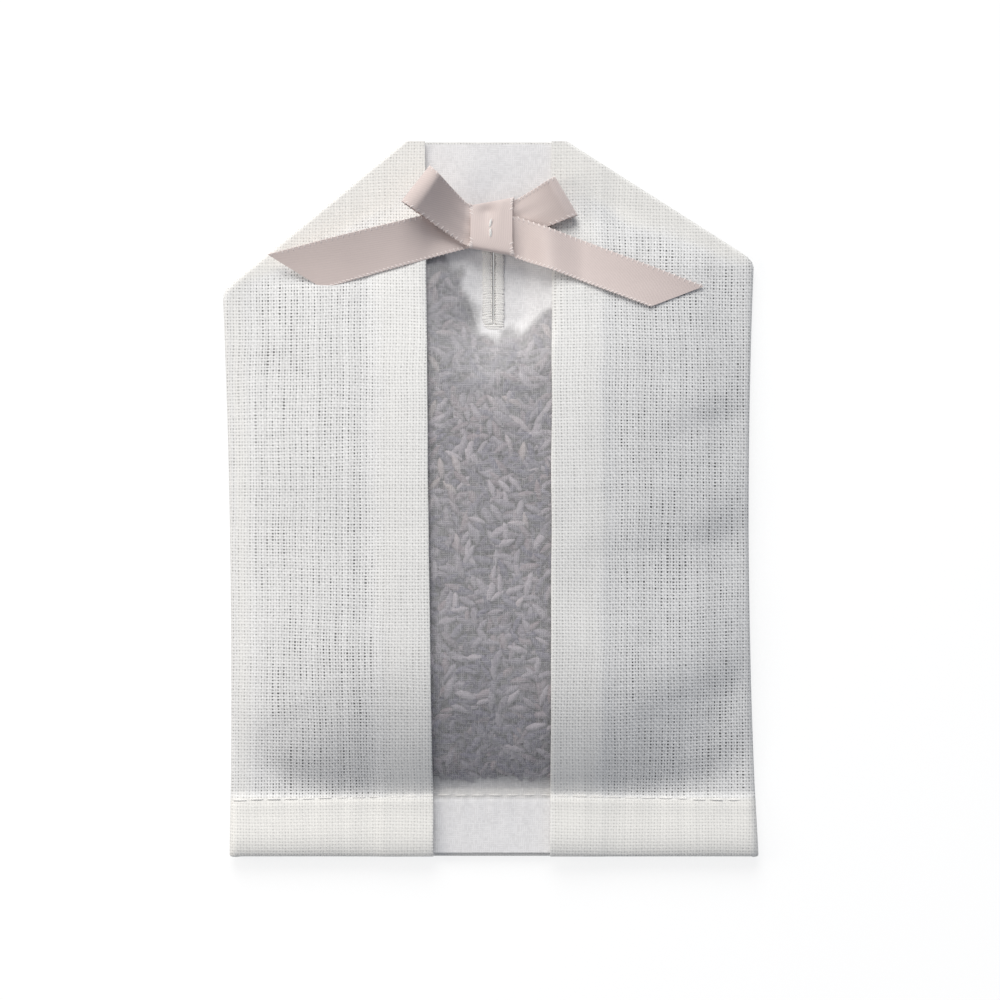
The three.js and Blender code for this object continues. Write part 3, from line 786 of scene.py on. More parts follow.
def heap_finish(colours):
    """The heap's lavender between its buds, painted darker than the buds as painted shade of the depth between
    them.
    """
    finish = Finish("lavender_shaded_depth")
    place = finish.object_place()
    chips = finish.level("ShaderNodeTexVoronoi", {"Vector": place, "Scale": 420.0}, "Distance")
    cloud = finish.level("ShaderNodeTexNoise", {"Vector": place, "Scale": 60.0, "Detail": 3.0}, "Fac")
    return finish.surface({
        # Painted shade: the lavender's colour at about half its level, for the depth between the buds.
        "Base Color": finish.tint(colours.lavender, chips * 0.5 + cloud * 0.45),
        "Roughness": 1.0,
        "Specular IOR Level": 0.05,
        "Normal": finish.bump(chips, 0.0006, 0.6),
    })


def ribbon_finish(colour):
    """Satin with fine slanting lines and a soft gloss."""
    finish = Finish("satin_ribbon")
    u, v = finish.cloth_place()
    slant = (u * 0.47 + v) * (2 * math.pi / TWILL_PITCH)
    twill = finish.calc("SINE", slant) * 0.5 + 0.5
    thread = finish.noise(u * 0.25, v * 9.0, 3.0, detail=2.0)
    cloud = finish.noise(u * 0.12, v * 0.2, 8.0)
    shade = cloud * 0.08 + (thread * 0.1 + (twill * 0.08 + 0.9))
    return finish.surface({
        "Base Color": finish.tint(colour, shade),
        "Roughness": thread * 0.16 + 0.4,
        "Specular IOR Level": 0.45,
        "Sheen Weight": 0.15,
        "Sheen Roughness": 0.4,
        "Normal": finish.bump(thread * 0.6 + twill, 0.00004, 0.35),
    })


def thread_finish(name, colour):
    """Matt cotton thread, with the turns of its strands."""
    finish = Finish(name)
    place = finish.object_place()
    x, y = finish.parts(place)
    strand = finish.calc("SINE", (x + y * 0.6) * (2 * math.pi / (STRAND_PITCH * MM)))
    grain = finish.level("ShaderNodeTexNoise", {"Vector": place, "Scale": 1800.0}, "Fac")
    return finish.surface({
        "Base Color": finish.tint(colour, grain * 0.08 + (strand * 0.04 + 0.93)),
        "Roughness": 0.85,
        "Specular IOR Level": 0.2,
        "Normal": finish.bump(strand, 0.00006, 0.4),
    })


def finish_named(name, make, *inputs):
    """A finish that is made the first time that a piece asks for it."""
    return bpy.data.materials.get(name) or make(*inputs)


def linen_of(context):
    scene = context.scene
    return finish_named("linen_weave", linen_finish, scene.sachet_colours, scene.sachet_sizes)


def thread_of(context):
    return finish_named("sewing_thread", thread_finish, "sewing_thread", context.scene.sachet_colours.thread)


def ribbon_of(context):
    return finish_named("satin_ribbon", ribbon_finish, context.scene.sachet_colours.ribbon)


def selvedge_of(context):
    return finish_named("ribbon_selvedge", thread_finish, "ribbon_selvedge", context.scene.sachet_colours.selvedge)


# ---------------------------------------------------------------- settings that a user would change

class SachetSizes(bpy.types.PropertyGroup):
    """Sizes of the cloths, the buds and the ribbon."""

    linen_thickness: bpy.props.FloatProperty(
        name="Linen thickness", description="Thickness of one layer of linen",
        default=0.2 * MM, min=0.0, unit="LENGTH", precision=5)
    warp_pair: bpy.props.FloatProperty(
        name="Warp pair", description="Width of two linen threads that run up the sachet",
        default=1.31 * MM, min=0.0, unit="LENGTH", precision=5)
    weft_pair: bpy.props.FloatProperty(
        name="Weft pair", description="Width of two linen threads that run across the sachet",
        default=1.42 * MM, min=0.0, unit="LENGTH", precision=5)
    voile_pitch: bpy.props.FloatProperty(
        name="Voile pitch", description="Distance from one thread of the voile to the next",
        default=0.46 * MM, min=0.0, unit="LENGTH", precision=5)
    voile_cover: bpy.props.FloatProperty(
        name="Voile cover", description="Share of what lies behind it that single voile hides",
        default=0.285, min=0.0, max=1.0, subtype="FACTOR")
    bud_length: bpy.props.FloatProperty(
        name="Bud length", description="Length of a lavender bud",
        default=5.3 * MM, min=0.0, unit="LENGTH", precision=5)
    bud_width: bpy.props.FloatProperty(
        name="Bud width", description="Width of a lavender bud",
        default=1.4 * MM, min=0.0, unit="LENGTH", precision=5)
    bud_spacing: bpy.props.FloatProperty(
        name="Bud spacing", description="Distance between buds in the gap between the fronts",
        default=1.5 * MM, min=0.0005, unit="LENGTH", precision=5)
    ribbon_thickness: bpy.props.FloatProperty(
        name="Ribbon thickness", description="Thickness of the satin ribbon",
        default=0.26 * MM, min=0.0, unit="LENGTH", precision=5)
    stitch_length: bpy.props.FloatProperty(
        name="Stitch length", description="Distance from one hem stitch to the next",
        default=3.8 * MM, min=0.001, unit="LENGTH", precision=5)


class SachetColours(bpy.types.PropertyGroup):
    """Colours of the sachet's materials."""

    linen: bpy.props.FloatVectorProperty(
        name="Linen", description="Colour of doubled linen", subtype="COLOR", default=(0.92, 0.904, 0.864))
    linen_single: bpy.props.FloatVectorProperty(
        name="Single linen", description="Colour of single linen, cooler from what lies under it", subtype="COLOR",
        default=(0.89, 0.888, 0.883))
    voile: bpy.props.FloatVectorProperty(
        name="Voile", description="Colour of the sheer pouch", subtype="COLOR", default=(0.93, 0.92, 0.924))
    lavender: bpy.props.FloatVectorProperty(
        name="Lavender", description="Middle colour of the dried buds", subtype="COLOR",
        default=(0.204, 0.195, 0.207))
    thread: bpy.props.FloatVectorProperty(
        name="Thread", description="Colour of the sewing thread", subtype="COLOR", default=(0.88, 0.865, 0.84))
    ribbon: bpy.props.FloatVectorProperty(
        name="Ribbon", description="Colour of the satin ribbon", subtype="COLOR", default=(0.642, 0.547, 0.519))
    selvedge: bpy.props.FloatVectorProperty(
        name="Selvedge", description="Colour of the ribbon's woven edges", subtype="COLOR",
        default=(0.86, 0.775, 0.745))


# ---------------------------------------------------------------- linen

def jacket_stations():
    """Stations across the folded linen: the part of it, and a share of the way over that part."""
    parts = (
        ("right_facing", 7), ("right_turn", 5), ("right_front", 44), ("right_side", 10), ("back", 0),
        ("left_side", 10), ("left_front", 44), ("left_turn", 5), ("left_facing", 7),
    )
    stations = []
    for part, count in parts:
        if part == "back":
            low = (BUTTONHOLE_X - SLIT_BACK_HALF) / STATION_SPAN
            high = (BUTTONHOLE_X + SLIT_BACK_HALF) / STATION_SPAN
            stations += [(part, x) for x in (*spread(1.0, high, 28)[1:], *spread(low, -1.0, 28)[:-1])]
        else:
            first = 0 if part == "right_facing" else 1
            stations += [(part, i / count) for i in range(first, count + 1)]
    return stations


def jacket_rows():
    """Rows up the linen: the turn of the hem, from half a circle at its free edge to none, and the height."""
    turned = [(math.pi, y) for y in spread(STITCH_Y + 2.0, BOTTOM + HEM_FOLD, 9)]
    fold = [(math.pi * (1 - i / 8), None) for i in range(9)]
    heights = spread(BOTTOM + HEM_FOLD, FINE_BELOW, 32) + spread(FINE_BELOW, SLIT_LOW, 82)[1:]
    heights += spread(SLIT_LOW, SLIT_HIGH, 17)[1:] + spread(SLIT_HIGH, TOP, 17)[1:]
    return turned + fold + [(0.0, y) for y in heights]


def back_face(x, y):
    """Outer face of the back, drawn in a little at the hem stitches and at the buttonhole."""
    beside = max(0.0, abs(x - BUTTONHOLE_X) - 2.2)
    beyond = max(0.0, BUTTONHOLE_LOW - y, y - BUTTONHOLE_HIGH)
    worked = 0.34 * bell(math.hypot(beside, beyond), 1.6)
    sewn = 0.3 * bell(y - stitch_line(x), 0.8)
    return max(worked, sewn) + 0.05 * (1 + ripple(x, y, 22, 6.1))


def front_face(x, y):
    return front_top(x, y) + pucker(x, y)


def linen_point(station, turn, y):
    """A point of the folded linen, moved in by the layers that lie over it at a facing or at the hem."""
    part, share = station
    side = LEFT if part.startswith("left") else RIGHT
    sign = -1 if side is LEFT else 1
    half = LAYER_STEP / 2
    facing = 0.0
    if part.endswith("turn"):
        facing = (1 + math.cos(math.pi * share)) / 2
        if side is LEFT:
            facing = 1 - facing
    elif part.endswith("facing"):
        facing = 1.0
    radius = LAYER_STEP * (1.5 - facing)
    if y is None:
        y = BOTTOM + 1.5 * LAYER_STEP - radius * math.sin(turn)
        if turn in (0.0, math.pi):
            y = BOTTOM + 1.5 * LAYER_STEP
    inward_by = 1.5 * LAYER_STEP - radius * math.cos(turn)
    fold = fold_radius(y)
    outer = reach(side, y) - fold
    free = edge(side, y)
    depth = min(FACING, 0.7 * (outer - free))
    if part == "back":
        limit = reach(RIGHT if share > 0 else LEFT, y) - fold
        x = spread_out(share, BACK_STRAIGHT, limit - BACK_STRAIGHT)
        return Vector((x, y, back_face(x, y) + inward_by))
    if part.endswith("side"):
        angle = math.pi * (0.5 - share) if side is RIGHT else math.pi * (1.5 - share)
        height = front_face(sign * outer, y) / 2
        rim = Vector((sign * outer + fold * math.cos(angle), y, height + height * math.sin(angle)))
        return rim - Vector((math.cos(angle), 0, math.sin(angle))) * inward_by
    if part.endswith("front"):
        away = mix(free + half, outer, share if side is RIGHT else 1 - share)
    elif part.endswith("turn"):
        away = free + half - half * math.sin(math.pi * share)
    else:
        away = mix(free + half, free + depth, 1 - share if side is RIGHT else share)
    x = sign * away
    return Vector((x, y, front_face(x, y))) - slope_of(front_face, x, y) * inward_by


def single_cloth(x, y, part):
    """1 where the linen is single, less where a turning lies under it."""
    if part.endswith("facing"):
        return 0.0
    if part.endswith("turn"):
        return 0.25
    hem = smooth((STITCH_Y + 1 - y) / 1.5)
    if part.endswith("side"):
        return 1 - max(0.93 * hem, 0.5, 0.85 * smooth((y - TOP + side_of(x)["drop"] + 4) / 6))
    if part == "back":
        return 0.35 - 0.28 * hem
    side = side_of(x)
    loose = 2.0 * ripple(x, y, 9, 3.7)
    facing = 1 - smooth((abs(x) - edge(side, y) - FACING + 3 + loose) / 7)
    gap, along = shoulder_place(x, y)
    shoulder = 1 - smooth((gap - turning_depth(side, along) + 3 + loose) / 5)
    beside = 1 - smooth((reach(side, y) - fold_radius(y) - abs(x)) / 9)
    folded = 0.68 * beside if side is LEFT else 0.0
    return 1 - max(0.93 * hem, 0.6 * facing, 0.9 * shoulder, folded)


class SACHET_OT_linen_jacket(bpy.types.Operator):
    """Folds the linen round the pouch, with its facings, its turned-up hem and the slit in its back"""

    bl_idname = "sachet.linen_jacket"
    bl_label = "Linen Jacket"
    bl_options = {"REGISTER", "UNDO"}

    def execute(self, context):
        stations, rows = jacket_stations(), jacket_rows()

        def place(i, j):
            return linen_point(stations[i], *rows[j])

        def weave(i, j, cell):
            point = place(i, j)
            part, share = stations[i]
            region = stations[cell + 1][0]
            u = point.x
            v = point.y if rows[j][0] < INWARD_TURN else 2 * BOTTOM - point.y
            if region.endswith("side"):
                side = LEFT if region.startswith("left") else RIGHT
                sign = -1 if side is LEFT else 1
                turned = share if part == region else 0.0
                middle = (stations[cell][1] if stations[cell][0] == region else 0.0) + 0.05
                outer = reach(side, point.y) - fold_radius(point.y)
                arc = math.pi * fold_radius(point.y)
                on_front = middle < 0.5 if side is RIGHT else middle > 0.5
                away = turned if side is RIGHT else 1 - turned
                u = sign * (outer + arc * away) if on_front else BACK_WEAVE + sign * (outer + arc * (1 - away))
            elif region == "back":
                u = BACK_WEAVE + point.x
            elif region.endswith("facing"):
                u = FACING_WEAVE + point.x
            return u, v

        piece, spots = cloth_grid("linen_cloth", len(stations) - 1, len(rows) - 1, place, weave)
        values = []
        for vertex, (i, j) in zip(piece.data.vertices, spots):
            inside = rows[j][0] > INWARD_TURN
            values.append(0.0 if inside else single_cloth(vertex.co.x / MM, vertex.co.y / MM, stations[i][0]))
        point_values(piece, "single", values)
        cut_slit(piece, SLIT_BACK_HALF, lambda z: z < 0.6)
        thicken(piece, context.scene.sachet_sizes.linen_thickness)
        smooth_shading(piece)
        linen = linen_of(context)
        strips = join_into(*(self.turning(context, side) for side in (LEFT, RIGHT)))
        finish_piece(strips, "sachet", "linen", linen)
        finish_piece(piece, "sachet", "linen", linen, "linen_jacket")
        return {"FINISHED"}

    def turning(self, context, side):
        """The corner of cloth that is turned under along one shoulder."""
        sign = -1 if side is LEFT else 1
        high = Vector((side["collar"], TOP))
        low = Vector((side["shoulder"], TOP - side["drop"]))
        run = low - high
        inward = Vector((run.y, -run.x)).normalized()
        start = (side["edge_top"] + FACING + 1 - high.x) / run.x
        columns, rows = 40, 10

        def place(i, j):
            along = mix(start, 0.93, (i if side is RIGHT else columns - i) / columns)
            depth = mix(1.6, turning_depth(side, (1 - along) * run.length), j / rows)
            spot = high + run * along + inward * depth
            x, y = sign * spot.x, spot.y
            return Vector((x, y, front_face(x, y) - LAYER_STEP))

        def weave(i, j, cell):
            point = place(i, j)
            return TURNING_WEAVE + point.x, point.y

        name = "shoulder_turnings" if side is LEFT else "shoulder_turning_right"
        strip, spots = cloth_grid(name, columns, rows, place, weave)
        point_values(strip, "single", [0.0] * len(spots))
        thicken(strip, context.scene.sachet_sizes.linen_thickness)
        smooth_shading(strip)
        return strip


# ---------------------------------------------------------------- pouch and lavender

def pouch_stations():
    """Places across the pouch, from -1 at its left side to 1 at its right one, with lines on the slit."""
    low = (BUTTONHOLE_X - SLIT_HALF) / STATION_SPAN
    high = (BUTTONHOLE_X + SLIT_HALF) / STATION_SPAN
    straight = POUCH_STRAIGHT / STATION_SPAN
    to_slit = spread(-1.0, -straight, 18)[:-1] + spread(-straight, low, 24)
    return to_slit + spread(high, straight, 24) + spread(straight, 1.0, 18)[1:]


def pouch_rows():
    heights = spread(POUCH_LOW_EDGE, FINE_BELOW, 26) + spread(FINE_BELOW, SLIT_LOW, 84)[1:]
    return heights + spread(SLIT_LOW, SLIT_HIGH, 20)[1:] + spread(SLIT_HIGH, POUCH_HIGH_EDGE, 16)[1:]


def pouch_x(station, y):
    limit = reach(side_of(station), y) - fold_radius(y)
    x = spread_out(station, POUCH_STRAIGHT, max(limit - POUCH_STRAIGHT, 0.2))
    return math.copysign(min(abs(x), limit), x)


def voile_top(x, y):
    """Upper face of the pouch, with the fine draw of the voile at the stitches and at the buttonhole."""
    draw = 0.18 * bell(y - stitch_line(0) + 0.2, 0.8) * (0.75 + 0.25 * math.cos(2 * math.pi * x / HEM_STITCH))
    streak = 0.1 * math.sin(1.9 * x + 2 * ripple(x, y, 9, 1.5)) * math.exp(-abs(y - STITCH_Y) / 6)
    beside = abs(x - BUTTONHOLE_X)
    ray = 0.12 * math.sin(0.9 * y + 3 * ripple(x, y, 7, 4.4)) * bell(beside - 5, 4)
    ray *= smooth((y - 34) / 8) * smooth((66 - y) / 4)
    flat = 0.06 * ripple(x, y, 10, 9.4)
    return POUCH_FRONT_TOP + hem_turn(y) + lift(x, y) + streak + ray + flat - draw


def dense_voile(x, y):
    """How thick the voile looks: most in its hem and its upper edge, some above the hem and at the buttonhole."""
    hem = smooth((STITCH_Y + 0.5 - y) / 1.2)
    above = 0.35 * smooth((-61 - y) / 5)
    return max(hem, above, smooth((y - 64) / 6), bay_haze(x, y))


class SACHET_OT_voile_pouch(bpy.types.Operator):
    """Sews the sheer pouch: a swollen front and a flat back, closed round the rim and open at the slit"""

    bl_idname = "sachet.voile_pouch"
    bl_label = "Voile Pouch"
    bl_options = {"REGISTER", "UNDO"}

    def execute(self, context):
        stations, rows = pouch_stations(), pouch_rows()

        def upper(i, j):
            x = pouch_x(stations[i], rows[j])
            return Vector((x, rows[j], voile_top(x, rows[j])))

        def lower(i, j):
            x = pouch_x(stations[len(stations) - 1 - i], rows[j])
            return Vector((x, rows[j], POUCH_BACK_LOW + hem_turn(rows[j])))

        panels = []
        for name, place, offset in (("voile_pouch", upper, 0), ("voile_back", lower, BACK_WEAVE)):

            def weave(i, j, cell):
                point = place(i, j)
                return offset + point.x, point.y

            panel, _ = cloth_grid(name, len(stations) - 1, len(rows) - 1, place, weave)
            point_values(panel, "dense", [dense_voile(v.co.x / MM, v.co.y / MM) for v in panel.data.vertices])
            panels.append(panel)
        pouch = join_into(*panels)
        bridge_rims(pouch, lambda x, y, z: True)
        cut_slit(pouch, SLIT_HALF, lambda z: True)
        bridge_rims(pouch, lambda x, y, z: abs(x) < 3)
        smooth_shading(pouch)
        scene = context.scene
        voile = finish_named("voile_weave", voile_finish, scene.sachet_colours, scene.sachet_sizes)
        finish_piece(pouch, "sachet", "voile", voile, "pouch_front", "pouch_back")
        return {"FINISHED"}


class SACHET_OT_lavender_heap(bpy.types.Operator):
    """Heaps the lavender in the pouch, with a bay round the buttonhole"""

    bl_idname = "sachet.lavender_heap"
    bl_label = "Lavender Heap"
    bl_options = {"REGISTER", "UNDO"}

    def execute(self, context):
        deselect()
        bpy.ops.mesh.primitive_uv_sphere_add(segments=144, ring_count=96, radius=1)
        heap = named("lavender_heap")
        limits = {}
        for vertex in heap.data.vertices:
            share = math.acos(clamp(abs(vertex.co.z))) / (math.pi / 2)
            angle = round(math.atan2(vertex.co.y, vertex.co.x), 4)
            if angle not in limits:
                limits[angle] = self.limit(angle)
            x, y = self.plan(angle, share * limits[angle])
            low = HEAP_FLOOR + 0.02 * share
            z = low
            if vertex.co.z > 0.001:
                loose = 0.3 * ripple(x, y, 2.6, 1.1)
                sunk = 1.9 + 1.2 * (1 - pinch_rise(x, y))
                z = max(low + 0.1 * (1 - share) + 0.02, POUCH_FRONT_LOW + lift(x, y) - sunk + loose)
                z = mix(z, low, smooth((share - 0.97) / 0.03))
            vertex.co = Vector((x, y, z)) * MM
        smooth_shading(heap)
        # The heap's finish is painted dark, as painted shade of the depth between the buds.
        depth = finish_named("lavender_shaded_depth", heap_finish, context.scene.sachet_colours)
        finish_piece(heap, "sachet", "lavender", depth, "lavender_fill")
        return {"FINISHED"}

    def plan(self, angle, share):
        """A point of the heap in plan, by its direction and its share of the way to the rim."""
        across, along = math.cos(angle), math.sin(angle)
        size = share / cushion_size(across, along)
        span = CROWN_Y - FILL_BOTTOM if along < 0 else FILL_TOP - CROWN_Y
        y = CROWN_Y + size * FILL_SHARE * along * span
        return size * across * heap_reach(across, y), y

    def limit(self, angle):
        """Share of the way to the rim at which the bay round the buttonhole begins."""
        for i in range(50, 101):
            if in_outline(*self.plan(angle, i / 100), BUD_FREE):
                return (i - 4) / 100
        return 1.0


def bay_haze(x, y):
    """How pale the voile is round the buttonhole: most in the bay, less beside it."""
    if y < 8 or abs(x) > 40:
        return 0.0
    spot = Vector((x, y))
    gaps = []
    for start, end in zip(BUD_FREE, BUD_FREE[1:]):
        _, share = geometry.intersect_point_line(spot, start, end)
        gaps.append((Vector(start).lerp(Vector(end), clamp(share)) - spot).length)
    gap = min(gaps) * (1 if in_outline(x, y, BUD_FREE) else -1) + BAY_WAVE * ripple(x, y, 3.2, 2.6)
    return BAY_PALE * smooth(BAY_MIDDLE + gap / BAY_SOFTNESS) + BESIDE_PALE * smooth(1 + gap / BESIDE_REACH)


def in_outline(x, y, outline):
    inside = False
    for (x1, y1), (x2, y2) in zip(outline, outline[1:] + outline[:1]):
        if (y1 > y) != (y2 > y) and x < x1 + (y - y1) / (y2 - y1) * (x2 - x1):
            inside = not inside
    return inside


class SACHET_OT_lavender_buds(bpy.types.Operator):
    """Scatters dried buds over the heap, thickest in the gap between the fronts"""

    bl_idname = "sachet.lavender_buds"
    bl_label = "Lavender Buds"
    bl_options = {"REGISTER", "UNDO"}

    def execute(self, context):
        sizes = context.scene.sachet_sizes
        length, width = sizes.bud_length / MM, sizes.bud_width / MM
        dice = random.Random(SEED)

        def bud_shape(x, y, z):
            along = x / length + 0.5
            swell = 0.55 + 0.75 * math.sin(math.pi * min(1.0, 0.15 + 0.75 * along))
            rib = 1 + 0.1 * math.cos(4 * math.atan2(z, y))
            return x, y * swell * rib, z * swell * rib

        places, tones = [], []
        strips = (
            (-BUD_SIDE, -GAP_HALF, HIDDEN_SPACING),
            (-GAP_HALF, GAP_HALF, sizes.bud_spacing / MM),
            (GAP_HALF, BUD_SIDE, HIDDEN_SPACING),
        )
        for low, high, gap in strips:
            for i in range(int((high - low) / gap)):
                for j in range(int((FILL_TOP - FILL_BOTTOM) / gap)):
                    x = low + (i + dice.uniform(0.0, 1.0)) * gap
                    y = FILL_BOTTOM + (j + dice.uniform(0.0, 1.0)) * gap
                    yaw, pitch = dice.uniform(0, 2 * math.pi), dice.gauss(0, 0.12)
                    deep = dice.uniform(0, 1.7) ** 1.3
                    tone, grow = dice.random(), dice.uniform(0.72, 1.15)
                    inside = fill_out(x, y) < FILL_SHARE and abs(x) + length / 2 < heap_reach(x, y)
                    if not inside or in_outline(x, y, BUD_FREE) or pinch_rise(x, y) < 0.2:
                        continue
                    up = slope_of(lift, x, y)
                    along = Vector((math.cos(yaw), math.sin(yaw), math.tan(pitch)))
                    along -= up * along.dot(up) * 0.9
                    top = voile_top(x, y) - 0.5
                    room = top - POUCH_BACK_LOW - 0.3
                    height = min(width * grow, room)
                    if height < 0.3 * width:
                        continue
                    z = top - height / 2 - min(deep, room - height)
                    tip = along.normalized() * length * grow * 0.45
                    z -= max(0.0, *(z + end * tip.z + 0.5 - voile_top(x + end * tip.x, y + end * tip.y)
                                    for end in (-1, -0.5, 0.5, 1)))
                    shape = Matrix.Diagonal((grow, grow, height / width, 1))
                    places.append(laid((x, y, z), along, up) @ shape)
                    # A bud's tone: its own random tone, darker towards the bottom, and painted shade that darkens
                    # the deeper buds.
                    low_dim = mix(0.82, 1.0, smooth((y + 62) / 75))
                    tones.append(tone * low_dim * mix(1.0, 0.7, clamp(deep / 1.6)))
        bud = bead("bud", length, width, width, segments=6, rings=6, shape=bud_shape)
        buds = repeat("lavender_buds", bud, places, tones)
        dried = finish_named("dried_lavender", bud_finish, context.scene.sachet_colours)
        finish_piece(buds, "sachet", "lavender", dried)
        return {"FINISHED"}


# ---------------------------------------------------------------- stitches

class SACHET_OT_buttonhole(bpy.types.Operator):
    """Works the buttonhole: two legs of close slanting stitches with a bar at each end, on front and back"""

    bl_idname = "sachet.buttonhole"
    bl_label = "Buttonhole"
    bl_options = {"REGISTER", "UNDO"}

    def execute(self, context):
        dice = random.Random(SEED + 1)
        places = []
        count = int((BUTTONHOLE_HIGH - BUTTONHOLE_LOW - 2.2) / LEG_PITCH)
        for level, up in ((POUCH_FRONT_TOP + 0.22, 1), (0.2, -1)):
            for x, lean in ((BUTTONHOLE_X - LEG_AWAY, LEG_LEAN), (BUTTONHOLE_X + LEG_AWAY, -LEG_LEAN)):
                for i in range(count):
                    y = BUTTONHOLE_LOW + BAR_ROOM + (i + 0.5) * LEG_PITCH
                    along = (1, lean + dice.gauss(0, 0.06), dice.gauss(0, 0.03))
                    spot = (x + dice.gauss(0, 0.06), y + dice.gauss(0, 0.04), level)
                    places.append(laid(spot, along, (0, 0, up)))
        legs = repeat("buttonhole_stitches", bead("leg", 2.2, 0.92, 0.44, segments=8, rings=6), places)
        bars, beads = [], []
        for level, up in ((POUCH_FRONT_TOP + 0.25, 1), (0.2, -1)):
            ends = (BUTTONHOLE_LOW + 0.35, BUTTONHOLE_LOW + 0.9, BUTTONHOLE_HIGH - 0.9, BUTTONHOLE_HIGH - 0.35)
            for y in ends:
                bars.append(laid((BUTTONHOLE_X, y, level), (1, dice.gauss(0, 0.03), 0), (0, 0, up)))
            for x in (BUTTONHOLE_X - SLIT_HALF - 0.06, BUTTONHOLE_X + SLIT_HALF + 0.06):
                for i in range(count):
                    y = BUTTONHOLE_LOW + BAR_ROOM + (i + dice.uniform(0.35, 0.65)) * LEG_PITCH
                    beads.append(laid((x, y, level), (0, 1, 0), (0, 0, up)))
        bar = repeat("bars", bead("bar", 5.0, 0.7, 0.55, segments=8, rings=8), bars)
        purl = repeat("purl", bead("knot", 0.6, 0.3, 0.5), beads)
        work = join_into(legs, bar, purl, self.sleeve())
        finish_piece(work, "sachet", "thread", thread_of(context), "buttonhole_edging")
        return {"FINISHED"}

    def sleeve(self):
        """The worked wall of the slit, through the pouch and the back."""
        deselect()
        bpy.ops.mesh.primitive_cylinder_add(vertices=32, radius=1, depth=1, end_fill_type="NOTHING")
        wall = named("sleeve")
        middle = (SLIT_LOW + SLIT_HIGH) / 2
        straight = (SLIT_HIGH - SLIT_LOW) / 2 - SLIT_HALF
        for vertex in wall.data.vertices:
            x, y, z = vertex.co
            y = math.copysign(straight, y) * smooth(abs(y) / 0.1) + y * SLIT_HALF * 1.3
            half = mix(SLIT_BACK_HALF, SLIT_HALF, z + 0.5)
            vertex.co = Vector((BUTTONHOLE_X + x * half * 1.2, middle + y, 1.05 + z * 1.7)) * MM
        thicken(wall, 0.25 * MM, offset=1.0)
        return wall


class SACHET_OT_hem_stitches(bpy.types.Operator):
    """Sews the row of hem stitches through every layer, on front and back"""

    bl_idname = "sachet.hem_stitches"
    bl_label = "Hem Stitches"
    bl_options = {"REGISTER", "UNDO"}

    def execute(self, context):
        dice = random.Random(SEED + 2)
        step = context.scene.sachet_sizes.stitch_length / MM
        near, jump = 1.2, 0.6
        places = []

        def surface(x, y):
            on_front = abs(x) > edge(side_of(x), y) - 0.2
            return front_face(x, y) if on_front else voile_top(x, y)

        x = -HEM_END
        while x < HEM_END + 0.5:
            y = stitch_line(x)
            for height, up in ((surface, 1), (back_face, -1)):
                ahead = Vector((2 * near, stitch_line(x + near) - stitch_line(x - near), 0))
                ahead.z = height(x + near, y) - height(x - near, y)
                if abs(ahead.z) > jump:
                    ahead.z = 0.0
                spot = (x, y + dice.gauss(0, 0.05), height(x, y) + up * 0.06)
                places.append(laid(spot, ahead, (0, 0, up)))
            x += step
        stitches = repeat("hem_stitches", bead("stitch", step * 0.8, 0.42, 0.34, segments=8, rings=8), places)
        finish_piece(stitches, "sachet", "thread", thread_of(context), "hem_thread")
        return {"FINISHED"}


class SACHET_OT_tack_stitches(bpy.types.Operator):
    """Sews the two small stitches that hold the knot"""

    bl_idname = "sachet.tack_stitches"
    bl_label = "Tack Stitches"
    bl_options = {"REGISTER", "UNDO"}

    def execute(self, context):
        places = []
        for y, turn in ((61.35, 0.1), (59.2, -0.07)):
            z = knot_top(0.0, y) + 0.1
            for aside in (-0.12, 0.12):
                places.append(laid((aside, y + aside, z), (turn, 1, 0), (0, 0, 1)))
        stitches = repeat("tack_stitches", bead("tack", 2.0, 0.36, 0.36, segments=8, rings=8), places)
        finish_piece(stitches, "sachet", "thread", thread_of(context), "tack_thread")
        return {"FINISHED"}


# ---------------------------------------------------------------- bow

def corner(x, y):
    return Vector((x, y))


ROOT_LEFT_X = KNOT_LEFT_X - 0.3
ROOT_RIGHT_X = KNOT_RIGHT_X + 0.3
# Limbs of the bow: corners of the root and of the end, height of the underside at the root, and its own lie.
LEFT_TAIL = {
    "root": (corner(ROOT_LEFT_X, 56.0), corner(ROOT_LEFT_X, 65.4)),
    "end": (corner(-37.2, 46.9), corner(-49.6, 54.5)),
    "root_low": CORE_LOW, "hold": 0.0, "hump": 0.0, "into": 2.2,
    "angle": math.radians(194.8), "short": 34.4, "long": 44.7, "bank": (1.0, 1.2), "drape": 0.0,
}
RIGHT_TAIL = {
    "root": (corner(ROOT_RIGHT_X, 53.9), corner(ROOT_RIGHT_X, 63.1)),
    "end": (corner(35.6, 42.7), corner(47.5, 47.4)),
    "root_low": CORE_LOW + 2 * BOW_LAYER, "hold": 6.5, "hump": 0.7, "into": 0.7,
    "angle": math.radians(-19.6), "short": 33.4, "long": 43.4, "bank": (-0.1, -0.15), "drape": 0.75,
}
LEFT_LOOP = {
    "root": (corner(ROOT_LEFT_X, 56.0), corner(ROOT_LEFT_X, 65.4)),
    "end": (corner(-19.6, 65.8), corner(-13.4, 73.5)),
    "root_low": CORE_LOW + BOW_LAYER, "radius": (2.9, 4.0), "pitch": 0.23, "length": 14.8,
}
RIGHT_LOOP = {
    "root": (corner(ROOT_RIGHT_X, 57.8), corner(ROOT_RIGHT_X, 66.4)),
    "end": (corner(19.3, 63.2), corner(14.3, 71.6)),
    "root_low": CORE_LOW, "radius": (1.6, 2.3), "pitch": 0.0, "length": 13.0,
}


def in_plan(ribbon, along, across):
    start = ribbon["root"][0].lerp(ribbon["root"][1], across)
    finish = ribbon["end"][0].lerp(ribbon["end"][1], across)
    return start.lerp(finish, along)


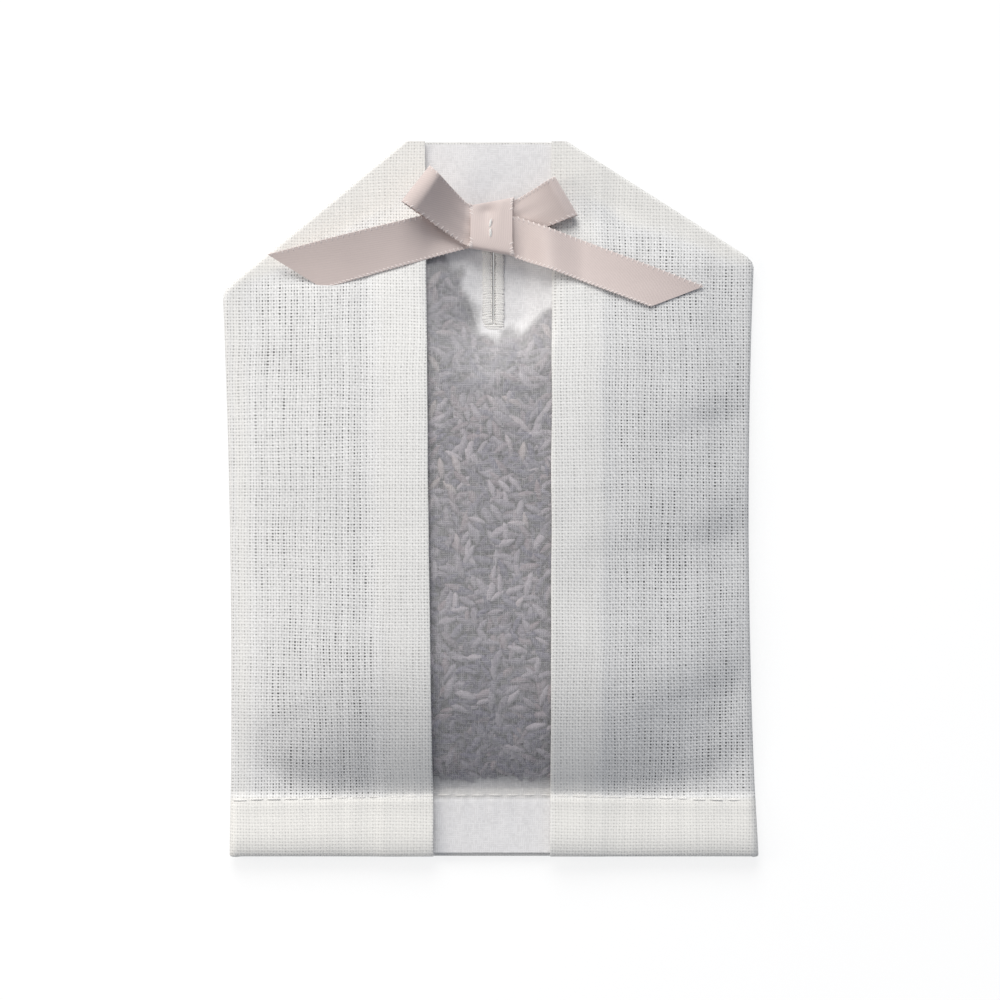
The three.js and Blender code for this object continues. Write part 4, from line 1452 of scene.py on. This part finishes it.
def tail_bed(ribbon, out):
    """Height that the stiff ribbon lies at, this far along its middle line: the highest point under its width."""
    middle = (ribbon["root"][0] + ribbon["root"][1]) / 2
    along = corner(math.cos(ribbon["angle"]), math.sin(ribbon["angle"]))
    across = corner(-along.y, along.x) * (1 if along.x > 0 else -1)
    beyond = clamp((out - ribbon["short"]) / (ribbon["long"] - ribbon["short"]))
    low = mix(-RIBBON_BED_HALF, RIBBON_BED_HALF, beyond)
    spots = [middle + along * out + across * mix(low, RIBBON_BED_HALF, i / 4) for i in range(5)]
    return max(front_top(*spot) for spot in spots)


def tail_height(ribbon, x, y):
    """Underside of a tail: it leaves the knot at its own height and comes down on the front."""
    out = abs(x - ribbon["root"][0].x)
    rise = ribbon["root_low"] - FRONT_TOP - LAYER_STEP - BOW_REST
    raised = (rise + ribbon["hump"] * smooth(out / 6.5)) * (1 - smooth((out - ribbon["hold"]) / 9))
    middle = (ribbon["root"][0] + ribbon["root"][1]) / 2
    offset = corner(x, y) - middle
    along = corner(math.cos(ribbon["angle"]), math.sin(ribbon["angle"]))
    run = offset.dot(along)
    aside = offset.cross(along) * (-1 if along.x > 0 else 1)
    wave = 0.07 * (1 + ripple(x, y, 11, 2.2)) * smooth((out - 6) / 8)
    near = 1 - smooth((out - 3) / 8)
    steps = (-6, -3, 0, 3, 6)
    beds = [tail_bed(ribbon, max(run + step, 0.0)) for step in steps]
    grounds = [front_top(x + step * along.x, y + step * along.y) for step in steps]
    bed = mix(sum(beds) / len(beds), sum(grounds) / len(grounds), ribbon["drape"])
    bed = mix(bed, front_top(x, y), near)
    tilt = mix(*ribbon["bank"], clamp(run / ribbon["long"])) * (1 - near)
    return bed + BOW_REST + raised + wave + tilt * aside / 4.7 + abs(tilt)


def tail_point(ribbon, along, across):
    """A point on the underside of a tail. Before its root it runs on into the knot."""
    flat = max(along, 0.0)
    plan = in_plan(ribbon, flat, across)
    z = tail_height(ribbon, plan.x, plan.y)
    cup = 0.22 * (2 * across - 1) ** 2 * smooth(flat * 5)
    if along < 0:
        inward = 1 if ribbon["root"][0].x < 0 else -1
        squeeze = 1 - 0.25 * -along
        middle = (ribbon["root"][0].y + ribbon["root"][1].y) / 2
        plan = corner(plan.x + inward * ribbon["into"] * -along, middle + (plan.y - middle) * squeeze)
    return Vector((plan.x, plan.y, z + cup))


# Shares of a loop's length at which its lower leaf ends and its fold ends.
LOOP_LOWER = 0.4
LOOP_TURN = 0.62


def loop_line(ribbon, share, across):
    """Side view of a loop, from its lower root out, round its fold and back: distance out and height."""
    radius = mix(*ribbon["radius"], across)
    straight = ribbon["length"] - radius
    if share < LOOP_LOWER:
        return straight * share / LOOP_LOWER, 0.15 * math.sin(math.pi * share / LOOP_LOWER)
    if share < LOOP_TURN:
        angle = ((share - LOOP_LOWER) / (LOOP_TURN - LOOP_LOWER) - 0.5) * math.pi
        return straight + radius * math.cos(angle), radius + radius * math.sin(angle)
    back = 1 - (share - LOOP_TURN) / (1 - LOOP_TURN)
    sag = 0.3 * math.sin(math.pi * back) * (1 - back)
    return straight * back, mix(BOW_LAYER, 2 * radius, back ** 1.7) - sag


def loop_point(ribbon, share, across):
    out, up = loop_line(ribbon, share, across)
    away = out / ribbon["length"]
    plan = in_plan(ribbon, away, across)
    inside = 0.9 * (1 - smooth(out / 1.2))
    plan.x += inside if ribbon is LEFT_LOOP else -inside
    wrinkle = 0.13 * math.sin(17 * across + 2) * math.exp(-out / 4.5) * (1 if share > LOOP_TURN else -0.3)
    bow = 0.25 * math.sin(math.pi * across) * away
    z = ribbon["root_low"] + 0.13 + up + ribbon["pitch"] * out + wrinkle + bow
    return Vector((plan.x, plan.y, z))


def ribbon_piece(context, name, columns, rows, point, length, outside):
    """A strip of ribbon with its woven edges. point(share along, share across) is in millimetres."""
    def at(i, j):
        return point(i / columns, j / rows)

    def weave(i, j, cell):
        return i / columns * length, j / rows * RIBBON_WIDTH

    strip, _ = cloth_grid(name, columns, rows, at, weave)
    thickness = context.scene.sachet_sizes.ribbon_thickness
    thicken(strip, thickness, offset=outside)
    smooth_shading(strip)
    strip.data.materials.append(ribbon_of(context))
    places = []
    count = round(length / TICK_PITCH)
    for side in (0.0, 1.0):
        for i in range(count):
            share = (i + 0.5) / count
            spot = point(share, side)
            inner = point(share, 0.06 if side == 0 else 0.94)
            ahead = point(min(1.0, share + 0.01), side) - point(max(0.0, share - 0.01), side)
            up = ahead.cross(inner - spot).normalized() * (1 if side == 0 else -1)
            inward = (inner - spot).normalized()
            middle = spot + up * outside * 0.5 * thickness / MM + inward * 0.3
            places.append(laid(middle, inward + ahead.normalized() * 0.6, up))
    ticks = repeat(name + "_edge", bead("tick", 1.2, 0.5, 0.46), places)
    ticks.data.materials.append(selvedge_of(context))
    return join_into(strip, ticks)


def hinge_limb(piece, node, before, after, out, end):
    """Hides the solid that a limb of the bow stands for, and bakes the limb's placing into its mesh."""
    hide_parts(node)
    face = KNOT_LEFT_X if out < 0 else KNOT_RIGHT_X
    (face + out * -0.5) * MM
    (face + out * end) * MM
    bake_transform(piece)


class SACHET_OT_bow_tails(bpy.types.Operator):
    """Lays the two tails of the bow over the fronts, with slanted ends"""

    bl_idname = "sachet.bow_tails"
    bl_label = "Bow Tails"
    bl_options = {"REGISTER", "UNDO"}

    def execute(self, context):
        tails = (
            ("left_tail_ribbon", LEFT_TAIL, "sachet", "left_tail", "bow_left_tail"),
            ("right_tail_ribbon", RIGHT_TAIL, "right_loop", "right_tail", "bow_right_tail"),
        )
        for name, ribbon, before, after, node in tails:
            length = TAIL_LENGTH + ribbon["into"]
            root = ribbon["into"] / length
            out = -1 if ribbon is LEFT_TAIL else 1

            def point(along, across):
                share = (along - root) / (1 - root) if along > root else (along - root) / root
                return tail_point(ribbon, share, 1 - across if out < 0 else across)

            piece = ribbon_piece(context, name, 90, 12, point, length, 1.0)
            hinge_limb(piece, node, before, after, out, 1.4)
        return {"FINISHED"}


class SACHET_OT_bow_loops(bpy.types.Operator):
    """Folds the two loops of the bow"""

    bl_idname = "sachet.bow_loops"
    bl_label = "Bow Loops"
    bl_options = {"REGISTER", "UNDO"}

    def execute(self, context):
        loops = (
            ("left_loop_ribbon", LEFT_LOOP, "left_tail", "left_loop", "bow_left_loop"),
            ("right_loop_ribbon", RIGHT_LOOP, "sachet", "right_loop", "bow_right_loop"),
        )
        for name, ribbon, before, after, node in loops:
            out = -1 if ribbon is LEFT_LOOP else 1

            def point(along, across):
                return loop_point(ribbon, along, 1 - across if out < 0 else across)

            piece = ribbon_piece(context, name, 84, 12, point, 2 * ribbon["length"] + 2, 0.0)
            hinge_limb(piece, node, before, after, out, 1.2)
        return {"FINISHED"}


def knot_half(x):
    """Half the width of the knot, which widens to the right."""
    return mix(4.7, 6.5, (x - KNOT_LEFT_X) / (KNOT_RIGHT_X - KNOT_LEFT_X))


def knot_top(x, y):
    """Upper face of the knot, a little full, with a dimple near its upper edge."""
    across = (y - KNOT_Y) / knot_half(x)
    full = 0.2 * (1 - across ** 2) - 0.85 * across
    dimple = 0.7 * math.exp(-((x + 0.8) / 1.8) ** 2 - ((y - 63.9) / 1.6) ** 2)
    fold = 0.18 * bell(x - 1.2 - 0.25 * (y - KNOT_Y), 1.1) * smooth((y - 58) / 5)
    return KNOT_HIGH - 0.1 + full - dimple + fold


class SACHET_OT_bow_knot(bpy.types.Operator):
    """Wraps the knot of the bow and gathers the ribbon inside it"""

    bl_idname = "sachet.bow_knot"
    bl_label = "Bow Knot"
    bl_options = {"REGISTER", "UNDO"}

    def execute(self, context):
        def ring(share, across):
            """Round the knot from the middle of its underside, left to right of the band by across."""
            x = mix(KNOT_LEFT_X, KNOT_RIGHT_X, across)
            angle = 2 * math.pi * share - math.pi / 2
            cos, sin = math.cos(angle), math.sin(angle)
            squareness = 0.24
            y = KNOT_Y + knot_half(x) * math.copysign(abs(cos) ** squareness, cos)
            middle = (KNOT_LOW + KNOT_HIGH) / 2
            top = knot_top(x, y) if sin > 0 else KNOT_LOW
            z = middle + (top - middle) * abs(sin) ** squareness
            flare = 0.12 * (2 * across - 1) * math.cos(2 * angle)
            return Vector((x + flare, y, z))

        band = ribbon_piece(context, "knot_wrap", 96, 14, ring, 29.0, -1.0)
        finish_piece(band, "sachet", "ribbon", ribbon_of(context), "knot_band")

        columns, rows = 60, 12

        def gather(i, j):
            share = i / columns
            x = mix(KNOT_LEFT_X + 0.3, KNOT_RIGHT_X - 0.3, 0.5 - 0.5 * math.cos(3 * math.pi * share))
            y = KNOT_Y + (j / rows - 0.5) * 6.6
            z = CORE_LOW + 0.1 + 1.5 * share + 0.08 * math.sin(4 * y + 6 * share)
            return Vector((x, y, z))

        core, _ = cloth_grid("knot_gather", columns, rows, gather, lambda i, j, cell: (i * 0.5, j * 0.6))
        thicken(core, 0.2 * MM)
        smooth_shading(core)
        finish_piece(core, "sachet", "ribbon", ribbon_of(context), "bow_core")
        return {"FINISHED"}


# ---------------------------------------------------------------- stage

CAMERA_X = 2.12
CAMERA_Y = -0.22
VIEW_WIDTH = 223.5
LENS = 120.0
SENSOR = 36.0
AIM_LEVEL = 3.0
SKY_COLOUR = (0.925, 0.98, 1.09)
SKY_STRENGTH = 0.31
WHITE = (1, 1, 1)

# Lamps: name, place and size in metres, power in watts, colour.
LAMPS = (
    ("key", (-0.3, 1.757, 1.29), 1.6, 40.0, (1.0, 0.985, 0.955)),
    ("side", (-0.4, 0.05, 0.29), 0.3, 0.7, (1.0, 0.93, 0.84)),
)

# Floor: its height, its greys where it is seen and where it throws light back, and its glow where it is seen.
FLOOR_LEVEL = -0.0003
FLOOR_SEEN = (0.25, 0.25, 0.25, 1)
FLOOR_BACK = (0.8, 0.8, 0.8, 1)
FLOOR_GLOW = 0.8


class SACHET_OT_stage(bpy.types.Operator):
    """Sets the floor, the lamps, the world and the camera"""

    bl_idname = "sachet.stage"
    bl_label = "Stage"
    bl_options = {"REGISTER", "UNDO"}

    def execute(self, context):
        scene = context.scene
        deselect()
        bpy.ops.mesh.primitive_plane_add(size=4.0, location=(0, 0, FLOOR_LEVEL))
        floor = named("floor")
        floor.data.materials.append(self.floor_finish())
        for lamp in LAMPS:
            self.lamp(*lamp)
        self.world(scene)
        distance = VIEW_WIDTH * LENS / SENSOR
        bpy.ops.object.camera_add(
            location=(CAMERA_X * MM, CAMERA_Y * MM, (AIM_LEVEL + distance) * MM), rotation=(0, 0, 0))
        camera = bpy.context.object
        camera.name = "camera"
        camera.data.lens = LENS
        camera.data.sensor_width = SENSOR
        scene.camera = camera
        scene.view_settings.view_transform = "Standard"
        scene.cycles.transparent_max_bounces = 32
        return {"FINISHED"}

    def lamp(self, name, place, size, power, colour):
        deselect()
        bpy.ops.object.light_add(type="AREA", location=place)
        lamp = bpy.context.object
        lamp.name = name
        lamp.data.name = name
        lamp.data.shape = "DISK"
        lamp.data.size = size
        lamp.data.energy = power
        lamp.data.color = colour
        lamp.rotation_euler = (-Vector(place)).to_track_quat("-Z", "Y").to_euler()

    def seen(self, finish):
        """1 for what the camera sees straight, in a mirror or through glass."""
        path = finish.add("ShaderNodeLightPath").outputs
        seen = finish.calc("MAXIMUM", path["Is Camera Ray"], path["Is Glossy Ray"])
        return finish.calc("MAXIMUM", seen, path["Is Transmission Ray"])

    def floor_finish(self):
        finish = Finish("floor")
        seen = self.seen(finish)
        lit = finish.add("ShaderNodeBsdfDiffuse", {"Color": FLOOR_SEEN}).outputs[0]
        pale = finish.add("ShaderNodeBsdfDiffuse", {"Color": FLOOR_BACK}).outputs[0]
        glow = finish.add("ShaderNodeEmission", {"Color": (*WHITE, 1), "Strength": FLOOR_GLOW}).outputs[0]
        both = finish.add("ShaderNodeAddShader", {0: lit, 1: glow}).outputs[0]
        choice = finish.add("ShaderNodeMixShader", {0: seen, 1: pale, 2: both}).outputs[0]
        finish.add("ShaderNodeOutputMaterial", {"Surface": choice})
        return finish.material

    def world(self, scene):
        """Cool light from all round, white where it is seen."""
        finish = Finish("studio", "worlds")
        seen = self.seen(finish)
        colour = finish.between(seen, SKY_COLOUR, WHITE)
        strength = finish.level("ShaderNodeMapRange", {"Value": seen, "To Min": SKY_STRENGTH, "To Max": 1.0})
        back = finish.add("ShaderNodeBackground", {"Color": colour, "Strength": strength}).outputs[0]
        finish.add("ShaderNodeOutputWorld", {"Surface": back})
        scene.world = finish.material


# ---------------------------------------------------------------- add-on

class SACHET_PT_panel(bpy.types.Panel):
    """Lists the sachet's pieces and settings"""

    bl_idname = "SACHET_PT_panel"
    bl_label = "Lavender Sachet"
    bl_space_type = "VIEW_3D"
    bl_region_type = "UI"
    bl_category = "Sachet"

    def draw(self, context):
        layout = self.layout
        for group in (context.scene.sachet_sizes, context.scene.sachet_colours):
            box = layout.box()
            for name in group.__annotations__:
                box.prop(group, name)
        for operator in OPERATORS:
            layout.operator(operator.bl_idname)


OPERATORS = (
    SACHET_OT_voile_pouch,
    SACHET_OT_linen_jacket,
    SACHET_OT_lavender_heap,
    SACHET_OT_lavender_buds,
    SACHET_OT_buttonhole,
    SACHET_OT_hem_stitches,
    SACHET_OT_bow_tails,
    SACHET_OT_bow_loops,
    SACHET_OT_bow_knot,
    SACHET_OT_tack_stitches,
    SACHET_OT_stage,
)
CLASSES = (SachetSizes, SachetColours, *OPERATORS, SACHET_PT_panel)


def register():
    for each in CLASSES:
        bpy.utils.register_class(each)
    bpy.types.Scene.sachet_sizes = bpy.props.PointerProperty(type=SachetSizes)
    bpy.types.Scene.sachet_colours = bpy.props.PointerProperty(type=SachetColours)


def unregister():
    del bpy.types.Scene.sachet_colours
    del bpy.types.Scene.sachet_sizes
    for each in reversed(CLASSES):
        bpy.utils.unregister_class(each)


def main():
    register()
    bpy.ops.sachet.voile_pouch()
    bpy.ops.sachet.linen_jacket()
    bpy.ops.sachet.lavender_heap()
    bpy.ops.sachet.lavender_buds()
    bpy.ops.sachet.buttonhole()
    bpy.ops.sachet.hem_stitches()
    bpy.ops.sachet.bow_tails()
    bpy.ops.sachet.bow_loops()
    bpy.ops.sachet.bow_knot()
    bpy.ops.sachet.tack_stitches()
    bpy.ops.sachet.stage()


if __name__ == "__main__":
    main()
